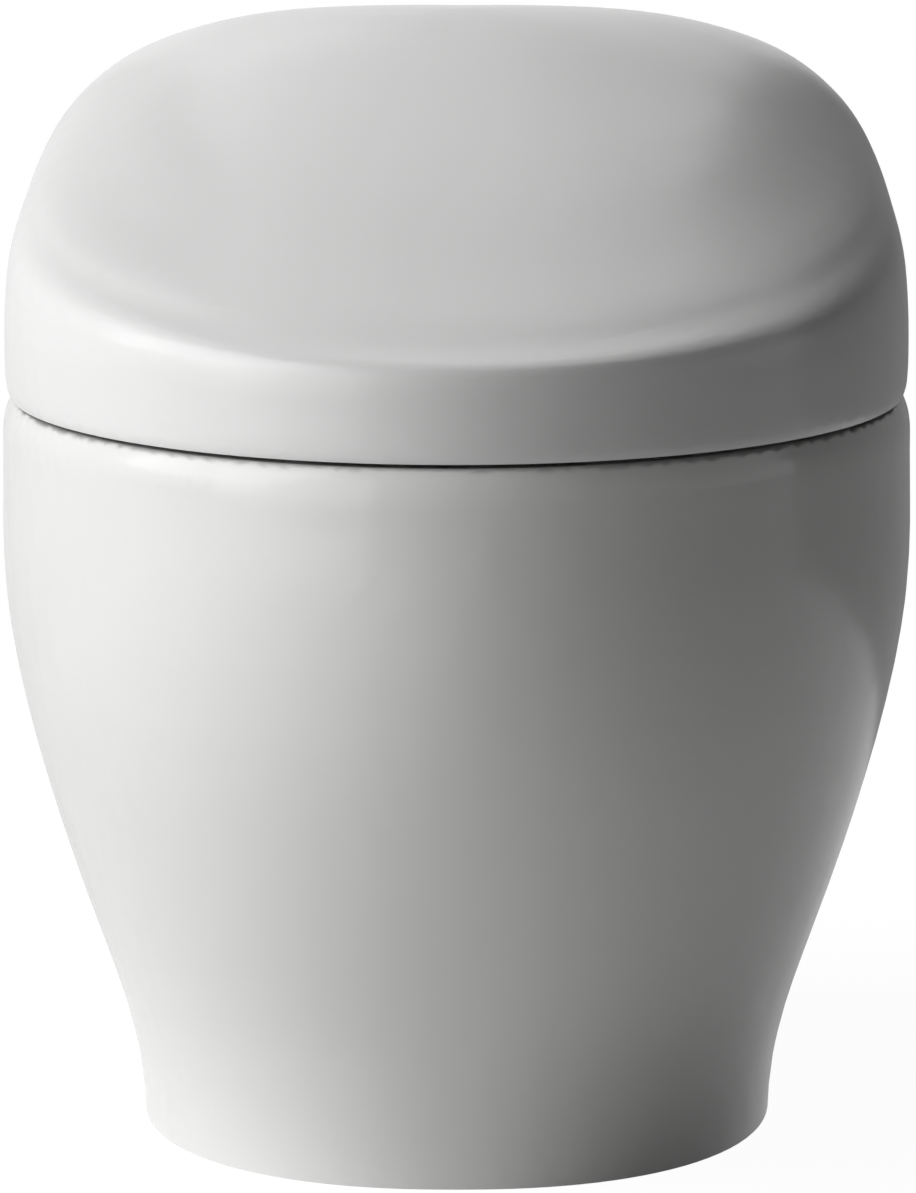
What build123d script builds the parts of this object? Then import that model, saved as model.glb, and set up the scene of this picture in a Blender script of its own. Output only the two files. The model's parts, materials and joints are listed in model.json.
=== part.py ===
"""One-piece bidet toilet: an egg-shaped china body with a domed lid, a heated seat and a washing unit.

The front faces -Y, +Z is up, and the origin is on the floor under the middle of the body. A "depth"
is measured backwards from the foremost point of the china, and the function back() turns it into Y.
Sizes are in millimetres. Tables of shares follow the sizes that their comments name.
"""
import os
from math import acos, atan2, cos, floor, hypot, pi, radians, sin, tan

from build123d import *

os.makedirs("parts", exist_ok=True)

# Driving sizes of the whole toilet
LENGTH = 790.0          # foremost to rearmost point of the china
WIDTH = 454.0           # across the widest level of the china
RIM_HEIGHT = 361.0      # floor to the top of the china
SEAM = 2.0              # gap between the china's rim and the lid
CROWN_HEIGHT = 179.0    # lower edge of the lid to the highest point of the top
CHINA_WALL = 12.0       # glazed wall of the skirt and the bowl
DECK = 16.0             # china under the seat and the washing unit
SHELL_WALL = 3.5        # moulded wall of the lid and the rear cover
OVERRUN = 3.0           # how far a cutting shape passes the face it cuts

# Hinge line of the seat and the lid, and the round back edge of the lid about it
HINGE_DEPTH = 588.0     # front of the china to the hinge line
HINGE_DROP = 48.0       # crown to the hinge line
KNUCKLE_RADIUS = 75.0   # outer radius of the lid's round back edge
PARTING_GAP = 2.0       # gap between the lid and the rear cover
PIN_RADIUS = 7.0        # hinge pins
PIN_CLEARANCE = 0.06    # running clearance on the radius round a pin

# Washing unit and the parts beside it, measured from the middle
UNIT_HALF_WIDTH = 130.0
UNIT_FRONT = 455.0      # depth of the unit's front face
SIDE_GAP = 3.0          # play between the unit, the seat arms and the lid's ears
ARM_THICKNESS = 14.0
EAR_THICKNESS = 8.0

# General clearances
REST_GAP = 0.3          # between pieces that rest on each other but move apart
SLIDE_GAP = 0.4         # round pieces that slide or that are lifted out
BLEND_STEPS = 36        # points on one egg-shaped outline

HINGE_HEIGHT = RIM_HEIGHT + SEAM + CROWN_HEIGHT - HINGE_DROP
LID_FOOT = RIM_HEIGHT + SEAM

# Levels of the china's outside, from the floor up. Shares of RIM_HEIGHT, LENGTH (front and rear),
# half of WIDTH, and LENGTH (widest place), then the powers of the front and rear half of the outline.
BODY_SHARES = (
    (0.000, 0.1734, 0.978, 0.693, 0.506, 2.25, 5.0),
    (0.033, 0.1715, 0.978, 0.696, 0.506, 2.25, 5.0),
    (0.100, 0.1610, 0.979, 0.712, 0.506, 2.22, 5.0),
    (0.200, 0.1370, 0.981, 0.758, 0.506, 2.18, 4.8),
    (0.319, 0.0975, 0.985, 0.826, 0.504, 2.13, 4.6),
    (0.449, 0.0570, 0.989, 0.894, 0.500, 2.08, 4.4),
    (0.590, 0.0228, 0.993, 0.954, 0.494, 2.04, 4.2),
    (0.715, 0.0050, 0.997, 0.990, 0.491, 2.00, 4.0),
    (0.831, 0.0000, 1.000, 1.000, 0.489, 2.00, 4.0),
    (0.934, 0.0008, 1.000, 0.998, 0.486, 2.00, 4.0),
    (0.981, 0.0030, 0.999, 0.991, 0.484, 2.00, 4.0),
    (1.000, 0.0090, 0.995, 0.970, 0.481, 2.00, 4.0),
)

# Levels of the lid and rear cover, from the lower edge to the crown. Each is a tilted egg-shaped
# section. Shares of LENGTH and CROWN_HEIGHT at its front end, the same at its rear end, half of
# WIDTH, LENGTH (widest place), two powers, and how far the wall goes inwards and downwards there.
CROWN_SHARES = (
    (0.0063, 0.000, 0.991, 0.000, 0.979, 0.468, 2.00, 4.0, 1.00, 0.00),
    (0.0041, 0.025, 0.995, 0.045, 0.988, 0.468, 2.00, 4.0, 1.00, 0.00),
    (0.0038, 0.112, 0.997, 0.140, 0.991, 0.466, 2.00, 4.0, 1.00, 0.00),
    (0.0038, 0.196, 0.997, 0.318, 0.989, 0.463, 2.00, 4.0, 1.00, 0.10),
    (0.0048, 0.224, 0.995, 0.486, 0.984, 0.463, 2.00, 3.9, 0.95, 0.35),
    (0.0084, 0.246, 0.990, 0.620, 0.974, 0.466, 2.00, 3.8, 0.80, 0.70),
    (0.0190, 0.262, 0.980, 0.724, 0.956, 0.476, 2.00, 3.8, 0.60, 0.95),
    (0.0633, 0.316, 0.958, 0.820, 0.916, 0.500, 2.05, 3.8, 0.45, 1.00),
    (0.1392, 0.413, 0.924, 0.878, 0.855, 0.538, 2.10, 3.6, 0.35, 1.00),
    (0.2532, 0.560, 0.884, 0.920, 0.758, 0.582, 2.20, 3.4, 0.25, 1.00),
    (0.3924, 0.723, 0.841, 0.954, 0.623, 0.623, 2.30, 3.2, 0.20, 1.00),
    (0.5063, 0.846, 0.797, 0.979, 0.465, 0.652, 2.30, 2.9, 0.15, 1.00),
    (0.5949, 0.935, 0.757, 0.994, 0.287, 0.674, 2.25, 2.5, 0.10, 1.00),
    (0.6519, 0.979, 0.714, 1.000, 0.115, 0.681, 2.10, 2.2, 0.05, 1.00),
    (0.6760, 0.992, 0.694, 0.999, 0.031, 0.684, 2.00, 2.0, 0.05, 1.00),
)


def back(depth):
    """Y of a place that lies this far behind the foremost point of the china."""
    return depth - LENGTH / 2


def egg_points(half_width, front, widest, rear, front_power, rear_power):
    """Points round an egg-shaped outline about the origin of its widest line, rear middle first."""
    points = []
    for step in range(BLEND_STEPS):
        turn = pi / 2 + 2 * pi * step / BLEND_STEPS
        across, along = cos(turn), sin(turn)
        power = rear_power if along > 0 else front_power
        reach = rear - widest if along > 0 else widest - front
        grow = (abs(across) ** power + abs(along) ** power) ** (-1 / power)
        points.append((half_width * across * grow, reach * along * grow))
    return points


def egg_section(plane, half_width, front, widest, rear, front_power, rear_power):
    """One egg-shaped face lying in a plane, whose origin is on the face's widest line."""
    with BuildSketch(plane) as section:
        with BuildLine():
            Spline(*egg_points(half_width, front, widest, rear, front_power, rear_power), periodic=True)
        make_face()
    return section.sketch


def flat_section(height, half_width, front, widest, rear, front_power=2.0, rear_power=2.0):
    """One egg-shaped face lying flat at a height."""
    return egg_section(Plane((0, back(widest), height)), half_width, front, widest, rear,
                       front_power, rear_power)


def tilted_section(front, front_height, rear, rear_height, half_width, widest, powers):
    """One egg-shaped face that rises from its front end to its rear end."""
    run, rise = rear - front, rear_height - front_height
    slant = hypot(run, rise)
    stretch = slant / run
    height = front_height + rise * (widest - front) / run
    tilt = Plane((0, back(widest), height), x_dir=(1, 0, 0), z_dir=(0, -rise / slant, run / slant))
    return egg_section(tilt, half_width, -(widest - front) * stretch, 0, (rear - widest) * stretch,
                       *powers)


def body_sections(inset, foot, top):
    """Sections of the china's outline, moved inwards by an inset, from a foot up to a top level."""
    sections = []
    for share, front, rear, half, widest, front_power, rear_power in BODY_SHARES:
        height = foot if share == 0 else min(share * RIM_HEIGHT, top)
        sections.append(flat_section(height, half * WIDTH / 2 - inset, front * LENGTH + inset,
                                     widest * LENGTH, rear * LENGTH - inset, front_power, rear_power))
        if height == top:
            break
    return sections


def crown_sections(wall, foot):
    """Sections of the lid and rear cover form, moved inwards by a wall and reaching down by a foot."""
    sections = []
    for (front, front_rise, rear, rear_rise, half, widest, front_power, rear_power, inward,
         down) in CROWN_SHARES:
        inset, drop = wall * inward, wall * down + (0 if sections else foot)
        sections.append(tilted_section(front * LENGTH + inset, LID_FOOT + front_rise * CROWN_HEIGHT - drop,
                                       rear * LENGTH - inset, LID_FOOT + rear_rise * CROWN_HEIGHT - drop,
                                       half * WIDTH / 2 - inset, widest * LENGTH,
                                       (front_power, rear_power)))
    return sections


def side_plane(x):
    """Plane seen from the right side: its first axis is Y, its second Z, and it faces +X."""
    return Plane((x, 0, 0), x_dir=(0, 1, 0), z_dir=(1, 0, 0))


def side_face(points, x=0):
    """A face seen from the right, with corners given as (depth, height), lying at an x."""
    with BuildSketch(side_plane(x)) as profile:
        with BuildLine():
            Polyline(*[(back(depth), height) for depth, height in points], close=True)
        make_face()
    return profile.sketch


def side_rounds(rounds, x=0):
    """The smooth hull round circles given as (depth, height, radius), seen from the right at an x."""
    with BuildSketch(side_plane(x)) as profile:
        with BuildSketch(mode=Mode.PRIVATE) as circles:
            for depth, height, radius in rounds:
                with Locations((back(depth), height)):
                    Circle(radius)
        make_hull(circles.sketch.edges())
    return profile.sketch


def side_disc(depth, height, radius, x=0):
    """A round face seen from the right."""
    with BuildSketch(side_plane(x)) as disc:
        with Locations((back(depth), height)):
            Circle(radius)
    return disc.sketch


def slab(x_span, depth_span, height_span, mode=Mode.ADD):
    """Adds a block that fills a span of x, depth and height to the part that is open."""
    spans = (x_span, depth_span, height_span)
    middle = [(low + high) / 2 for low, high in spans]
    with Locations((middle[0], back(middle[1]), middle[2])):
        Box(*[high - low for low, high in spans], mode=mode)


def upright(x, depth, low, high, radius, mode=Mode.ADD):
    """Adds a round upright bar or hole to the part that is open."""
    with Locations((x, back(depth), (low + high) / 2)):
        Cylinder(radius, high - low, mode=mode)


def finish(piece, name):
    """Names a finished piece and writes its file."""
    piece.part.label = name
    export_step(piece.part, f"parts/{name}.step")


def pipe(places, bend, radius):
    """A round bar along straight runs joined by arcs, through places given as (x, depth, height)."""
    with BuildLine() as route:
        FilletPolyline(*[(x, back(depth), height) for x, depth, height in places], radius=bend)
    with BuildSketch(Plane(origin=route.line @ 0, z_dir=route.line % 0)) as ring:
        Circle(radius)
    with BuildPart() as bar:
        sweep(ring.sketch, path=route.line)
    return bar.part


def cross_bar(depth, height, x_span, radius, mode=Mode.ADD):
    """Adds a round bar or hole that runs across, from one x to another, to the part that is open."""
    extrude(side_disc(depth, height, radius, x_span[0]), amount=x_span[1] - x_span[0], mode=mode)


# China body: skirt, deck, bowl, trapway and the pocket that the wash wand comes through
TRAP_RADIUS = 26.0          # glazed inside of the trapway
TRAP_WALL = 10.0
TRAP_BEND = 38.0            # radius of the trapway's bends, on its middle line
TRAP_START = 275.0          # depth where the trapway leaves the sump
TRAP_HEIGHT = 96.0          # middle of the trapway at the sump
TRAP_TURN = 345.0           # depth where it starts to climb
WEIR_START = 415.0
WEIR_HEIGHT = 200.0         # middle of the trapway at its crown
OUTLET_DEPTH = 490.0        # middle of the outlet, 300 before the back of the china
OUTLET_HEIGHT = 14.0        # floor to the open end of the outlet
POCKET_HALF_WIDTH = 72.0
POCKET_FRONT = 396.0
POCKET_REAR = 482.0
POCKET_DROP = 66.0          # rim to the lowest point of the pocket
POCKET_WALL = 10.0
SERVICE_WIDTH = 224.0       # opening in the back of the skirt
SERVICE_FOOT = 26.0
SERVICE_HEIGHT = 292.0
SERVICE_CORNER = 30.0
UNIT_BOLT_SPREAD = 155.0    # between the two bolts that hold the washing unit
UNIT_BOLT_DEPTH = 528.0
UNIT_BOLT_HOLE = 7.0
HOSE_HOLE_X = 30.0          # passage for hoses and leads through the deck
HOSE_HOLE_DEPTH = 648.0
HOSE_HOLE_RADIUS = 20.0
SIDE_SCREW_DEPTH = 600.0    # screws through the skirt into the floor brackets
SIDE_SCREW_HEIGHT = 44.0
SIDE_SCREW_HOLE = 6.5
JET_RADIUS = 7.0
JET_DEPTH = 268.0
JET_HEIGHT = 92.0
RIM_JET_DEPTH = 330.0
RIM_JET_DROP = 38.0         # rim to the middle of the upper jet
RIM_JET_X = 118.0

# Levels of the bowl's inside, from the rim down. Shares of RIM_HEIGHT, half of WIDTH, and LENGTH
# for the front, the widest place and the rear.
BOWL_SHARES = (
    (1.000, 0.642, 0.0700, 0.305, 0.551),
    (0.978, 0.617, 0.0760, 0.308, 0.544),
    (0.831, 0.564, 0.0950, 0.310, 0.529),
    (0.665, 0.476, 0.1330, 0.315, 0.494),
    (0.499, 0.330, 0.2025, 0.325, 0.449),
    (0.360, 0.220, 0.2530, 0.335, 0.418),
    (0.249, 0.167, 0.2850, 0.338, 0.392),
    (0.183, 0.110, 0.3060, 0.340, 0.375),
)
TRAP_ROUTE = (
    (0, TRAP_START, TRAP_HEIGHT), (0, TRAP_TURN, TRAP_HEIGHT), (0, WEIR_START, WEIR_HEIGHT),
    (0, OUTLET_DEPTH, WEIR_HEIGHT), (0, OUTLET_DEPTH, OUTLET_HEIGHT),
)


def bowl_sections(outset, top):
    """Sections of the bowl, moved outwards by a wall, up to a height above the rim."""
    sections = []
    for share, half, front, widest, rear in BOWL_SHARES:
        height = share * RIM_HEIGHT
        if share == 1:
            height += top
        if share == BOWL_SHARES[-1][0]:
            height -= outset
        sections.append(flat_section(height, half * WIDTH / 2 + outset, front * LENGTH - outset,
                                     widest * LENGTH, rear * LENGTH + outset))
    return sections


def pocket_face(outset):
    """Side view of the wand's pocket, which slopes down from the deck into the bowl."""
    return side_face([
        (POCKET_FRONT - outset, RIM_HEIGHT - POCKET_DROP - outset),
        (POCKET_REAR + outset * 2, RIM_HEIGHT), (POCKET_REAR + outset * 2, RIM_HEIGHT + OVERRUN),
        (POCKET_FRONT - outset, RIM_HEIGHT + OVERRUN)])


with BuildPart() as ceramic_body:
    loft(body_sections(0, 0, RIM_HEIGHT))
    loft(body_sections(CHINA_WALL, -OVERRUN, RIM_HEIGHT - DECK), mode=Mode.SUBTRACT)
    loft(bowl_sections(CHINA_WALL, 0))
    extrude(pocket_face(POCKET_WALL), amount=POCKET_HALF_WIDTH + POCKET_WALL, both=True)
    slab((-WIDTH, WIDTH), (0, LENGTH), (RIM_HEIGHT, RIM_HEIGHT + DECK), mode=Mode.SUBTRACT)
    add(pipe(TRAP_ROUTE, TRAP_BEND, TRAP_RADIUS + TRAP_WALL))
    loft(bowl_sections(0, OVERRUN), mode=Mode.SUBTRACT)
    add(pipe(TRAP_ROUTE, TRAP_BEND, TRAP_RADIUS), mode=Mode.SUBTRACT)
    extrude(pocket_face(0), amount=POCKET_HALF_WIDTH, both=True, mode=Mode.SUBTRACT)
    with BuildSketch(Plane((0, back(LENGTH + OVERRUN), SERVICE_FOOT + SERVICE_HEIGHT / 2),
                           x_dir=(1, 0, 0), z_dir=(0, -1, 0))):
        RectangleRounded(SERVICE_WIDTH, SERVICE_HEIGHT, SERVICE_CORNER)
    extrude(amount=CHINA_WALL * 3, mode=Mode.SUBTRACT)
    for side in (-1, 1):
        upright(side * UNIT_BOLT_SPREAD / 2, UNIT_BOLT_DEPTH, RIM_HEIGHT - DECK * 2,
                RIM_HEIGHT + OVERRUN, UNIT_BOLT_HOLE, mode=Mode.SUBTRACT)
    upright(HOSE_HOLE_X, HOSE_HOLE_DEPTH, RIM_HEIGHT - DECK * 2, RIM_HEIGHT + OVERRUN,
            HOSE_HOLE_RADIUS, mode=Mode.SUBTRACT)
    cross_bar(SIDE_SCREW_DEPTH, SIDE_SCREW_HEIGHT, (-WIDTH / 2, WIDTH / 2), SIDE_SCREW_HOLE,
              mode=Mode.SUBTRACT)
    cross_bar(JET_DEPTH, JET_HEIGHT, (CHINA_WALL, CHINA_WALL * 5), JET_RADIUS, mode=Mode.SUBTRACT)
    cross_bar(RIM_JET_DEPTH, RIM_HEIGHT - RIM_JET_DROP, (-RIM_JET_X - CHINA_WALL * 4, -RIM_JET_X),
              JET_RADIUS, mode=Mode.SUBTRACT)
finish(ceramic_body, "ceramic_body")


# Lid and rear cover: one domed form, parted round the hinge line
LID_LIP = 15.0          # hinge line up to the end of the lid's round back wall
COVER_LIP = 22.0        # hinge line down to the end of the cover's round front wall
POST_RADIUS = 6.0       # lid posts that carry the rubber buffers
BUFFER_HEIGHT = 4.0
SEAT_TOP = 33.0         # rim to the top of the seat
EAR_RADIUS = 14.0
EAR_TAPER = 2.0
COVER_POST_RADIUS = 6.0
GLAND_X = -118.0        # mains gland in the back of the cover
GLAND_RISE = 24.0       # rim to the middle of the gland
GLAND_HOLE = 7.0
ARM_INNER = UNIT_HALF_WIDTH + SIDE_GAP
EAR_INNER = ARM_INNER + ARM_THICKNESS + SIDE_GAP
LID_TOP = LID_FOOT + CROWN_HEIGHT + OVERRUN
BASE_THICKNESS = 5.0    # floor of the washing unit, lying on the deck
BASE_TOP = RIM_HEIGHT + BASE_THICKNESS
LID_POST_PLACES = ((60.0, 50.0), (120.0, 105.0))        # x to either side, and depth
COVER_POST_PLACES = ((118.0, 694.0), (62.0, 752.0))


def hinge_side(before, radius):
    """Side view of all that lies before a depth, or within a radius of the hinge line."""
    with BuildSketch(side_plane(0)) as side:
        with Locations((back((before - OVERRUN) / 2), LID_TOP / 2)):
            Rectangle(before + OVERRUN, LID_TOP)
        with Locations((back(HINGE_DEPTH), HINGE_HEIGHT)):
            Circle(radius)
    return side.sketch


def side_block(depth_low, depth_high, top):
    """Side view of a block that stands between two depths and reaches up to a height."""
    return side_face([(depth_low, 0), (depth_high, 0), (depth_high, top), (depth_low, top)])


with BuildPart() as crown_outside:
    loft(crown_sections(0, 0))

with BuildPart() as crown_inside:
    loft(crown_sections(SHELL_WALL, OVERRUN))

with BuildPart() as lid_room:
    extrude(hinge_side(HINGE_DEPTH, KNUCKLE_RADIUS - SHELL_WALL), amount=WIDTH, both=True)
    extrude(side_block(HINGE_DEPTH - OVERRUN, LENGTH, HINGE_HEIGHT + LID_LIP), amount=WIDTH, both=True)
    add(crown_inside.part, mode=Mode.INTERSECT)

with BuildPart() as lid_fittings:
    for side in (-1, 1):
        x_low = EAR_INNER if side > 0 else -EAR_INNER - EAR_THICKNESS
        extrude(side_disc(HINGE_DEPTH, HINGE_HEIGHT, EAR_RADIUS, x_low), amount=EAR_THICKNESS)
        extrude(side_face([
            (HINGE_DEPTH - EAR_RADIUS, HINGE_HEIGHT), (HINGE_DEPTH + EAR_RADIUS, HINGE_HEIGHT),
            (HINGE_DEPTH + EAR_RADIUS + EAR_TAPER, LID_TOP),
            (HINGE_DEPTH - EAR_RADIUS - EAR_TAPER, LID_TOP)], x_low), amount=EAR_THICKNESS)
        for x, depth in LID_POST_PLACES:
            upright(side * x, depth, RIM_HEIGHT + SEAT_TOP + REST_GAP + BUFFER_HEIGHT, LID_TOP,
                    POST_RADIUS)
    add(crown_outside.part, mode=Mode.INTERSECT)

with BuildPart() as lid_shell:
    add(crown_outside.part)
    extrude(hinge_side(HINGE_DEPTH, KNUCKLE_RADIUS), amount=WIDTH, both=True, mode=Mode.INTERSECT)
    add(lid_room.part, mode=Mode.SUBTRACT)
    add(lid_fittings.part)
    cross_bar(HINGE_DEPTH, HINGE_HEIGHT, (-WIDTH / 2 + EAR_RADIUS * 3, WIDTH / 2 - EAR_RADIUS * 3),
              PIN_RADIUS + PIN_CLEARANCE, mode=Mode.SUBTRACT)
finish(lid_shell, "lid_shell")

with BuildPart() as lid_buffers:
    for side in (-1, 1):
        for x, depth in LID_POST_PLACES:
            foot = RIM_HEIGHT + SEAT_TOP + REST_GAP
            upright(side * x, depth, foot, foot + BUFFER_HEIGHT, POST_RADIUS)
    fillet(lid_buffers.faces().sort_by(Axis.Z)[:len(LID_POST_PLACES) * 2].edges(), BUFFER_HEIGHT / 4)
finish(lid_buffers, "lid_buffers")

with BuildPart() as cover_room:
    extrude(side_block(HINGE_DEPTH - OVERRUN, LENGTH + OVERRUN, LID_TOP), amount=WIDTH, both=True)
    extrude(side_disc(HINGE_DEPTH, HINGE_HEIGHT, KNUCKLE_RADIUS + PARTING_GAP + SHELL_WALL),
            amount=WIDTH, both=True, mode=Mode.SUBTRACT)
    extrude(side_block(HINGE_DEPTH - OVERRUN, LENGTH + OVERRUN, HINGE_HEIGHT - COVER_LIP),
            amount=WIDTH, both=True)
    add(crown_inside.part, mode=Mode.INTERSECT)

with BuildPart() as cover_posts:
    for side in (-1, 1):
        for x, depth in COVER_POST_PLACES:
            upright(side * x, depth, BASE_TOP, LID_TOP, COVER_POST_RADIUS)
    add(crown_outside.part, mode=Mode.INTERSECT)

with BuildPart() as rear_cover:
    add(crown_outside.part)
    extrude(side_block(HINGE_DEPTH + PARTING_GAP, LENGTH + OVERRUN, LID_TOP), amount=WIDTH, both=True,
            mode=Mode.INTERSECT)
    extrude(side_disc(HINGE_DEPTH, HINGE_HEIGHT, KNUCKLE_RADIUS + PARTING_GAP), amount=WIDTH,
            both=True, mode=Mode.SUBTRACT)
    add(cover_room.part, mode=Mode.SUBTRACT)
    add(cover_posts.part)
    with Locations(Location((GLAND_X, back(LENGTH), RIM_HEIGHT + GLAND_RISE), (90, 0, 0))):
        Cylinder(GLAND_HOLE, SHELL_WALL * 12, mode=Mode.SUBTRACT)
finish(rear_cover, "rear_cover")


# Seat: a heated ring on a base plate with two arms back to the hinge line
SEAT_HALF_WIDTH = 205.0
SEAT_FRONT = 14.0
SEAT_REAR = 448.0
SEAT_WIDEST = 330.0
SEAT_HOLE_HALF_WIDTH = 112.0
SEAT_HOLE_FRONT = 76.0
SEAT_HOLE_REAR = 388.0
SEAT_HOLE_WIDEST = 232.0
SEAT_FOOT = 8.0         # rim to the underside of the seat, kept clear by the buffers
SEAT_SPLIT = 15.0       # rim to the joint between the base plate and the top
SEAT_WALL = 3.0         # moulded wall of the seat's top
SEAT_BUFFER_RADIUS = 8.0
SEAT_BUFFER_PLACES = ((70.0, 54.0), (174.0, 250.0))
HEATER_THICKNESS = 0.8
ARM_ROOT = 396.0        # depth where the arms leave the ring
ARM_START = 7.0         # how far before the ring's rear end the arms start to rise
ARM_NECK = 11.0         # half of its height at the hinge end
HOLE_POWERS = (2.1, 2.3)
RING_POWERS = (2.0, 3.4)
# How the ring's top rounds off: height share of the top's thickness, and how far it draws in,
# as a share of that thickness
SEAT_EDGE_SHARES = ((0.00, 0.02), (0.35, 0.00), (0.72, 0.12), (0.93, 0.45), (1.00, 1.00))


def seat_sections(inset, low, high, outside):
    """Sections of the ring's outer edge or of its opening, rounded off towards the top."""
    sections = []
    thick = SEAT_TOP - SEAT_SPLIT
    for rise, draw in SEAT_EDGE_SHARES:
        height = low + rise * (high - low)
        if outside:
            pull = inset + draw * thick
            sections.append(flat_section(height, SEAT_HALF_WIDTH - pull, SEAT_FRONT + pull,
                                         SEAT_WIDEST, SEAT_REAR - pull, *RING_POWERS))
        else:
            push = inset + draw * thick
            sections.append(flat_section(height, SEAT_HOLE_HALF_WIDTH + push, SEAT_HOLE_FRONT - push,
                                         SEAT_HOLE_WIDEST, SEAT_HOLE_REAR + push, *HOLE_POWERS))
    return sections


def ring_plate(inset, low, high):
    """Adds a flat plate with the ring's outline, drawn in by an inset, to the part that is open."""
    outer = flat_section(low, SEAT_HALF_WIDTH - inset, SEAT_FRONT + inset, SEAT_WIDEST,
                         SEAT_REAR - inset, *RING_POWERS)
    hole = flat_section(low, SEAT_HOLE_HALF_WIDTH + inset, SEAT_HOLE_FRONT - inset, SEAT_HOLE_WIDEST,
                        SEAT_HOLE_REAR + inset, *HOLE_POWERS)
    extrude(outer, amount=high - low)
    extrude(hole, amount=high - low, mode=Mode.SUBTRACT)


SEAT_JOINT = RIM_HEIGHT + SEAT_SPLIT
SEAT_CEILING = RIM_HEIGHT + SEAT_TOP
HEATER_TOP = SEAT_CEILING - SEAT_WALL

with BuildPart() as seat_room:
    loft(seat_sections(SEAT_WALL, SEAT_JOINT, HEATER_TOP, True))
    loft(seat_sections(SEAT_WALL, SEAT_JOINT, HEATER_TOP, False), mode=Mode.SUBTRACT)

with BuildPart() as seat_top:
    loft(seat_sections(0, SEAT_JOINT, SEAT_CEILING, True))
    loft(seat_sections(0, SEAT_JOINT, SEAT_CEILING, False), mode=Mode.SUBTRACT)
    add(seat_room.part, mode=Mode.SUBTRACT)
finish(seat_top, "seat_top")

with BuildPart() as seat_heater:
    ring_plate(SEAT_TOP - SEAT_SPLIT + SEAT_WALL + SLIDE_GAP, HEATER_TOP - HEATER_THICKNESS, HEATER_TOP)
finish(seat_heater, "seat_heater")

with BuildPart() as seat_base:
    ring_plate(SLIDE_GAP, RIM_HEIGHT + SEAT_FOOT, SEAT_JOINT)
    for side in (-1, 1):
        x_low = ARM_INNER if side > 0 else -ARM_INNER - ARM_THICKNESS
        arm_foot = RIM_HEIGHT + SEAT_FOOT
        extrude(side_face([
            (ARM_ROOT, arm_foot), (SEAT_REAR, arm_foot), (HINGE_DEPTH, HINGE_HEIGHT - ARM_NECK),
            (HINGE_DEPTH, HINGE_HEIGHT + ARM_NECK), (HINGE_DEPTH - ARM_NECK, HINGE_HEIGHT + ARM_NECK),
            (SEAT_REAR - ARM_START, SEAT_JOINT), (ARM_ROOT, SEAT_JOINT)], x_low),
            amount=ARM_THICKNESS)
        extrude(side_disc(HINGE_DEPTH, HINGE_HEIGHT, EAR_RADIUS, x_low), amount=ARM_THICKNESS)
    cross_bar(HINGE_DEPTH, HINGE_HEIGHT, (-EAR_INNER, EAR_INNER), PIN_RADIUS + PIN_CLEARANCE,
              mode=Mode.SUBTRACT)
finish(seat_base, "seat_base")

with BuildPart() as seat_buffers:
    for side in (-1, 1):
        for x, depth in SEAT_BUFFER_PLACES:
            upright(side * x, depth, RIM_HEIGHT + REST_GAP, RIM_HEIGHT + SEAT_FOOT, SEAT_BUFFER_RADIUS)
    fillet(seat_buffers.faces().sort_by(Axis.Z)[:len(SEAT_BUFFER_PLACES) * 2].edges(), SEAT_FOOT / 4)
finish(seat_buffers, "seat_buffers")


# Washing unit: base plate on the deck, casing with the hinge crest, and what it holds
UNIT_REAR = 584.0           # depth of the casing's back, below the lid's round back edge
UNIT_WALL = 2.5
NOSE_DEPTH = 466.0
NOSE_RISE = 25.0            # rim to the middle of the casing's rounded nose
NOSE_RADIUS = 11.0
CREST_RADIUS = 24.0         # casing round the hinge line
BACK_STEP_RISE = 63.0       # rim to the step in the casing's back
BACK_SHELF = 18.0           # how far the casing's back stands out above the step
BACK_SHELF_RISE = 14.0
BASE_HALF_WIDTH = 164.0
BASE_FRONT = 458.0
BASE_REAR = 738.0
BASE_CORNER = 24.0
BASE_RIM = 4.0              # upstand round the base plate
BASE_RIM_WALL = 2.0
BRACKET_HALF_WIDTH = 94.0
BRACKET_FRONT = 508.0
BRACKET_REAR = 548.0
BRACKET_THICKNESS = 3.0
BOLT_RADIUS = 4.0
BOLT_HEAD_RADIUS = 8.0
BOLT_HEAD_HEIGHT = 4.0
BOLT_LENGTH = 44.0
NUT_RADIUS = 10.0
NUT_HEIGHT = 9.0
NOSE_HEIGHT = RIM_HEIGHT + NOSE_RISE
STEP_HEIGHT = RIM_HEIGHT + BACK_STEP_RISE

# Wash wand: it slides down and forwards out of the casing, through the pocket, into the bowl
WAND_TILT = 35.0            # degrees below level
WAND_RADIUS = 7.5
WAND_BORE = 2.5
WAND_LENGTH = 144.0
WAND_TIP_DEPTH = 475.0      # depth of the wand's tip when it is in
WAND_TIP_RISE = 6.8         # rim to the middle of the tip when it is in
TIP_LENGTH = 24.0
TIP_RADIUS = 8.2
NOZZLE_RADIUS = 0.9
WAND_PORT = 20.0            # half of the width of the wand's opening in the base
WAND_PORT_REAR = 506.0
CRADLE_HALF_WIDTH = 16.0
CRADLE_HALF_HEIGHT = 12.0
CRADLE_START = 24.4         # from the tip, along the wand
CRADLE_LENGTH = 109.6
CHEEK_FRONT = 516.0
CHEEK_REAR = 566.0
CHEEK_THICKNESS = 3.0
TEETH = 18
TOOTH_SIZE = 1.0            # module of the rack and its pinion
PRESSURE_ANGLE = 20.0
TOOTH_PLAY = 0.12           # taken off each flank, so that the teeth run free
RACK_THICKNESS = 4.0
RACK_START = TIP_LENGTH     # from the tip, along the wand
RACK_BACK = 5.0             # rack's back, from the middle of the wand
RACK_LINE = 11.5            # rack's pitch line, from the middle of the wand
PINION_PLACE = 28.0         # from the tip, along the wand
PINION_SHAFT = 1.5
MOTOR_RADIUS = 11.0
MOTOR_LENGTH = 16.0
MOTOR_LIFT = 2.8            # rack's middle plane to the plate that carries the motor
MOTOR_PLATE = 2.4
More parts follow.
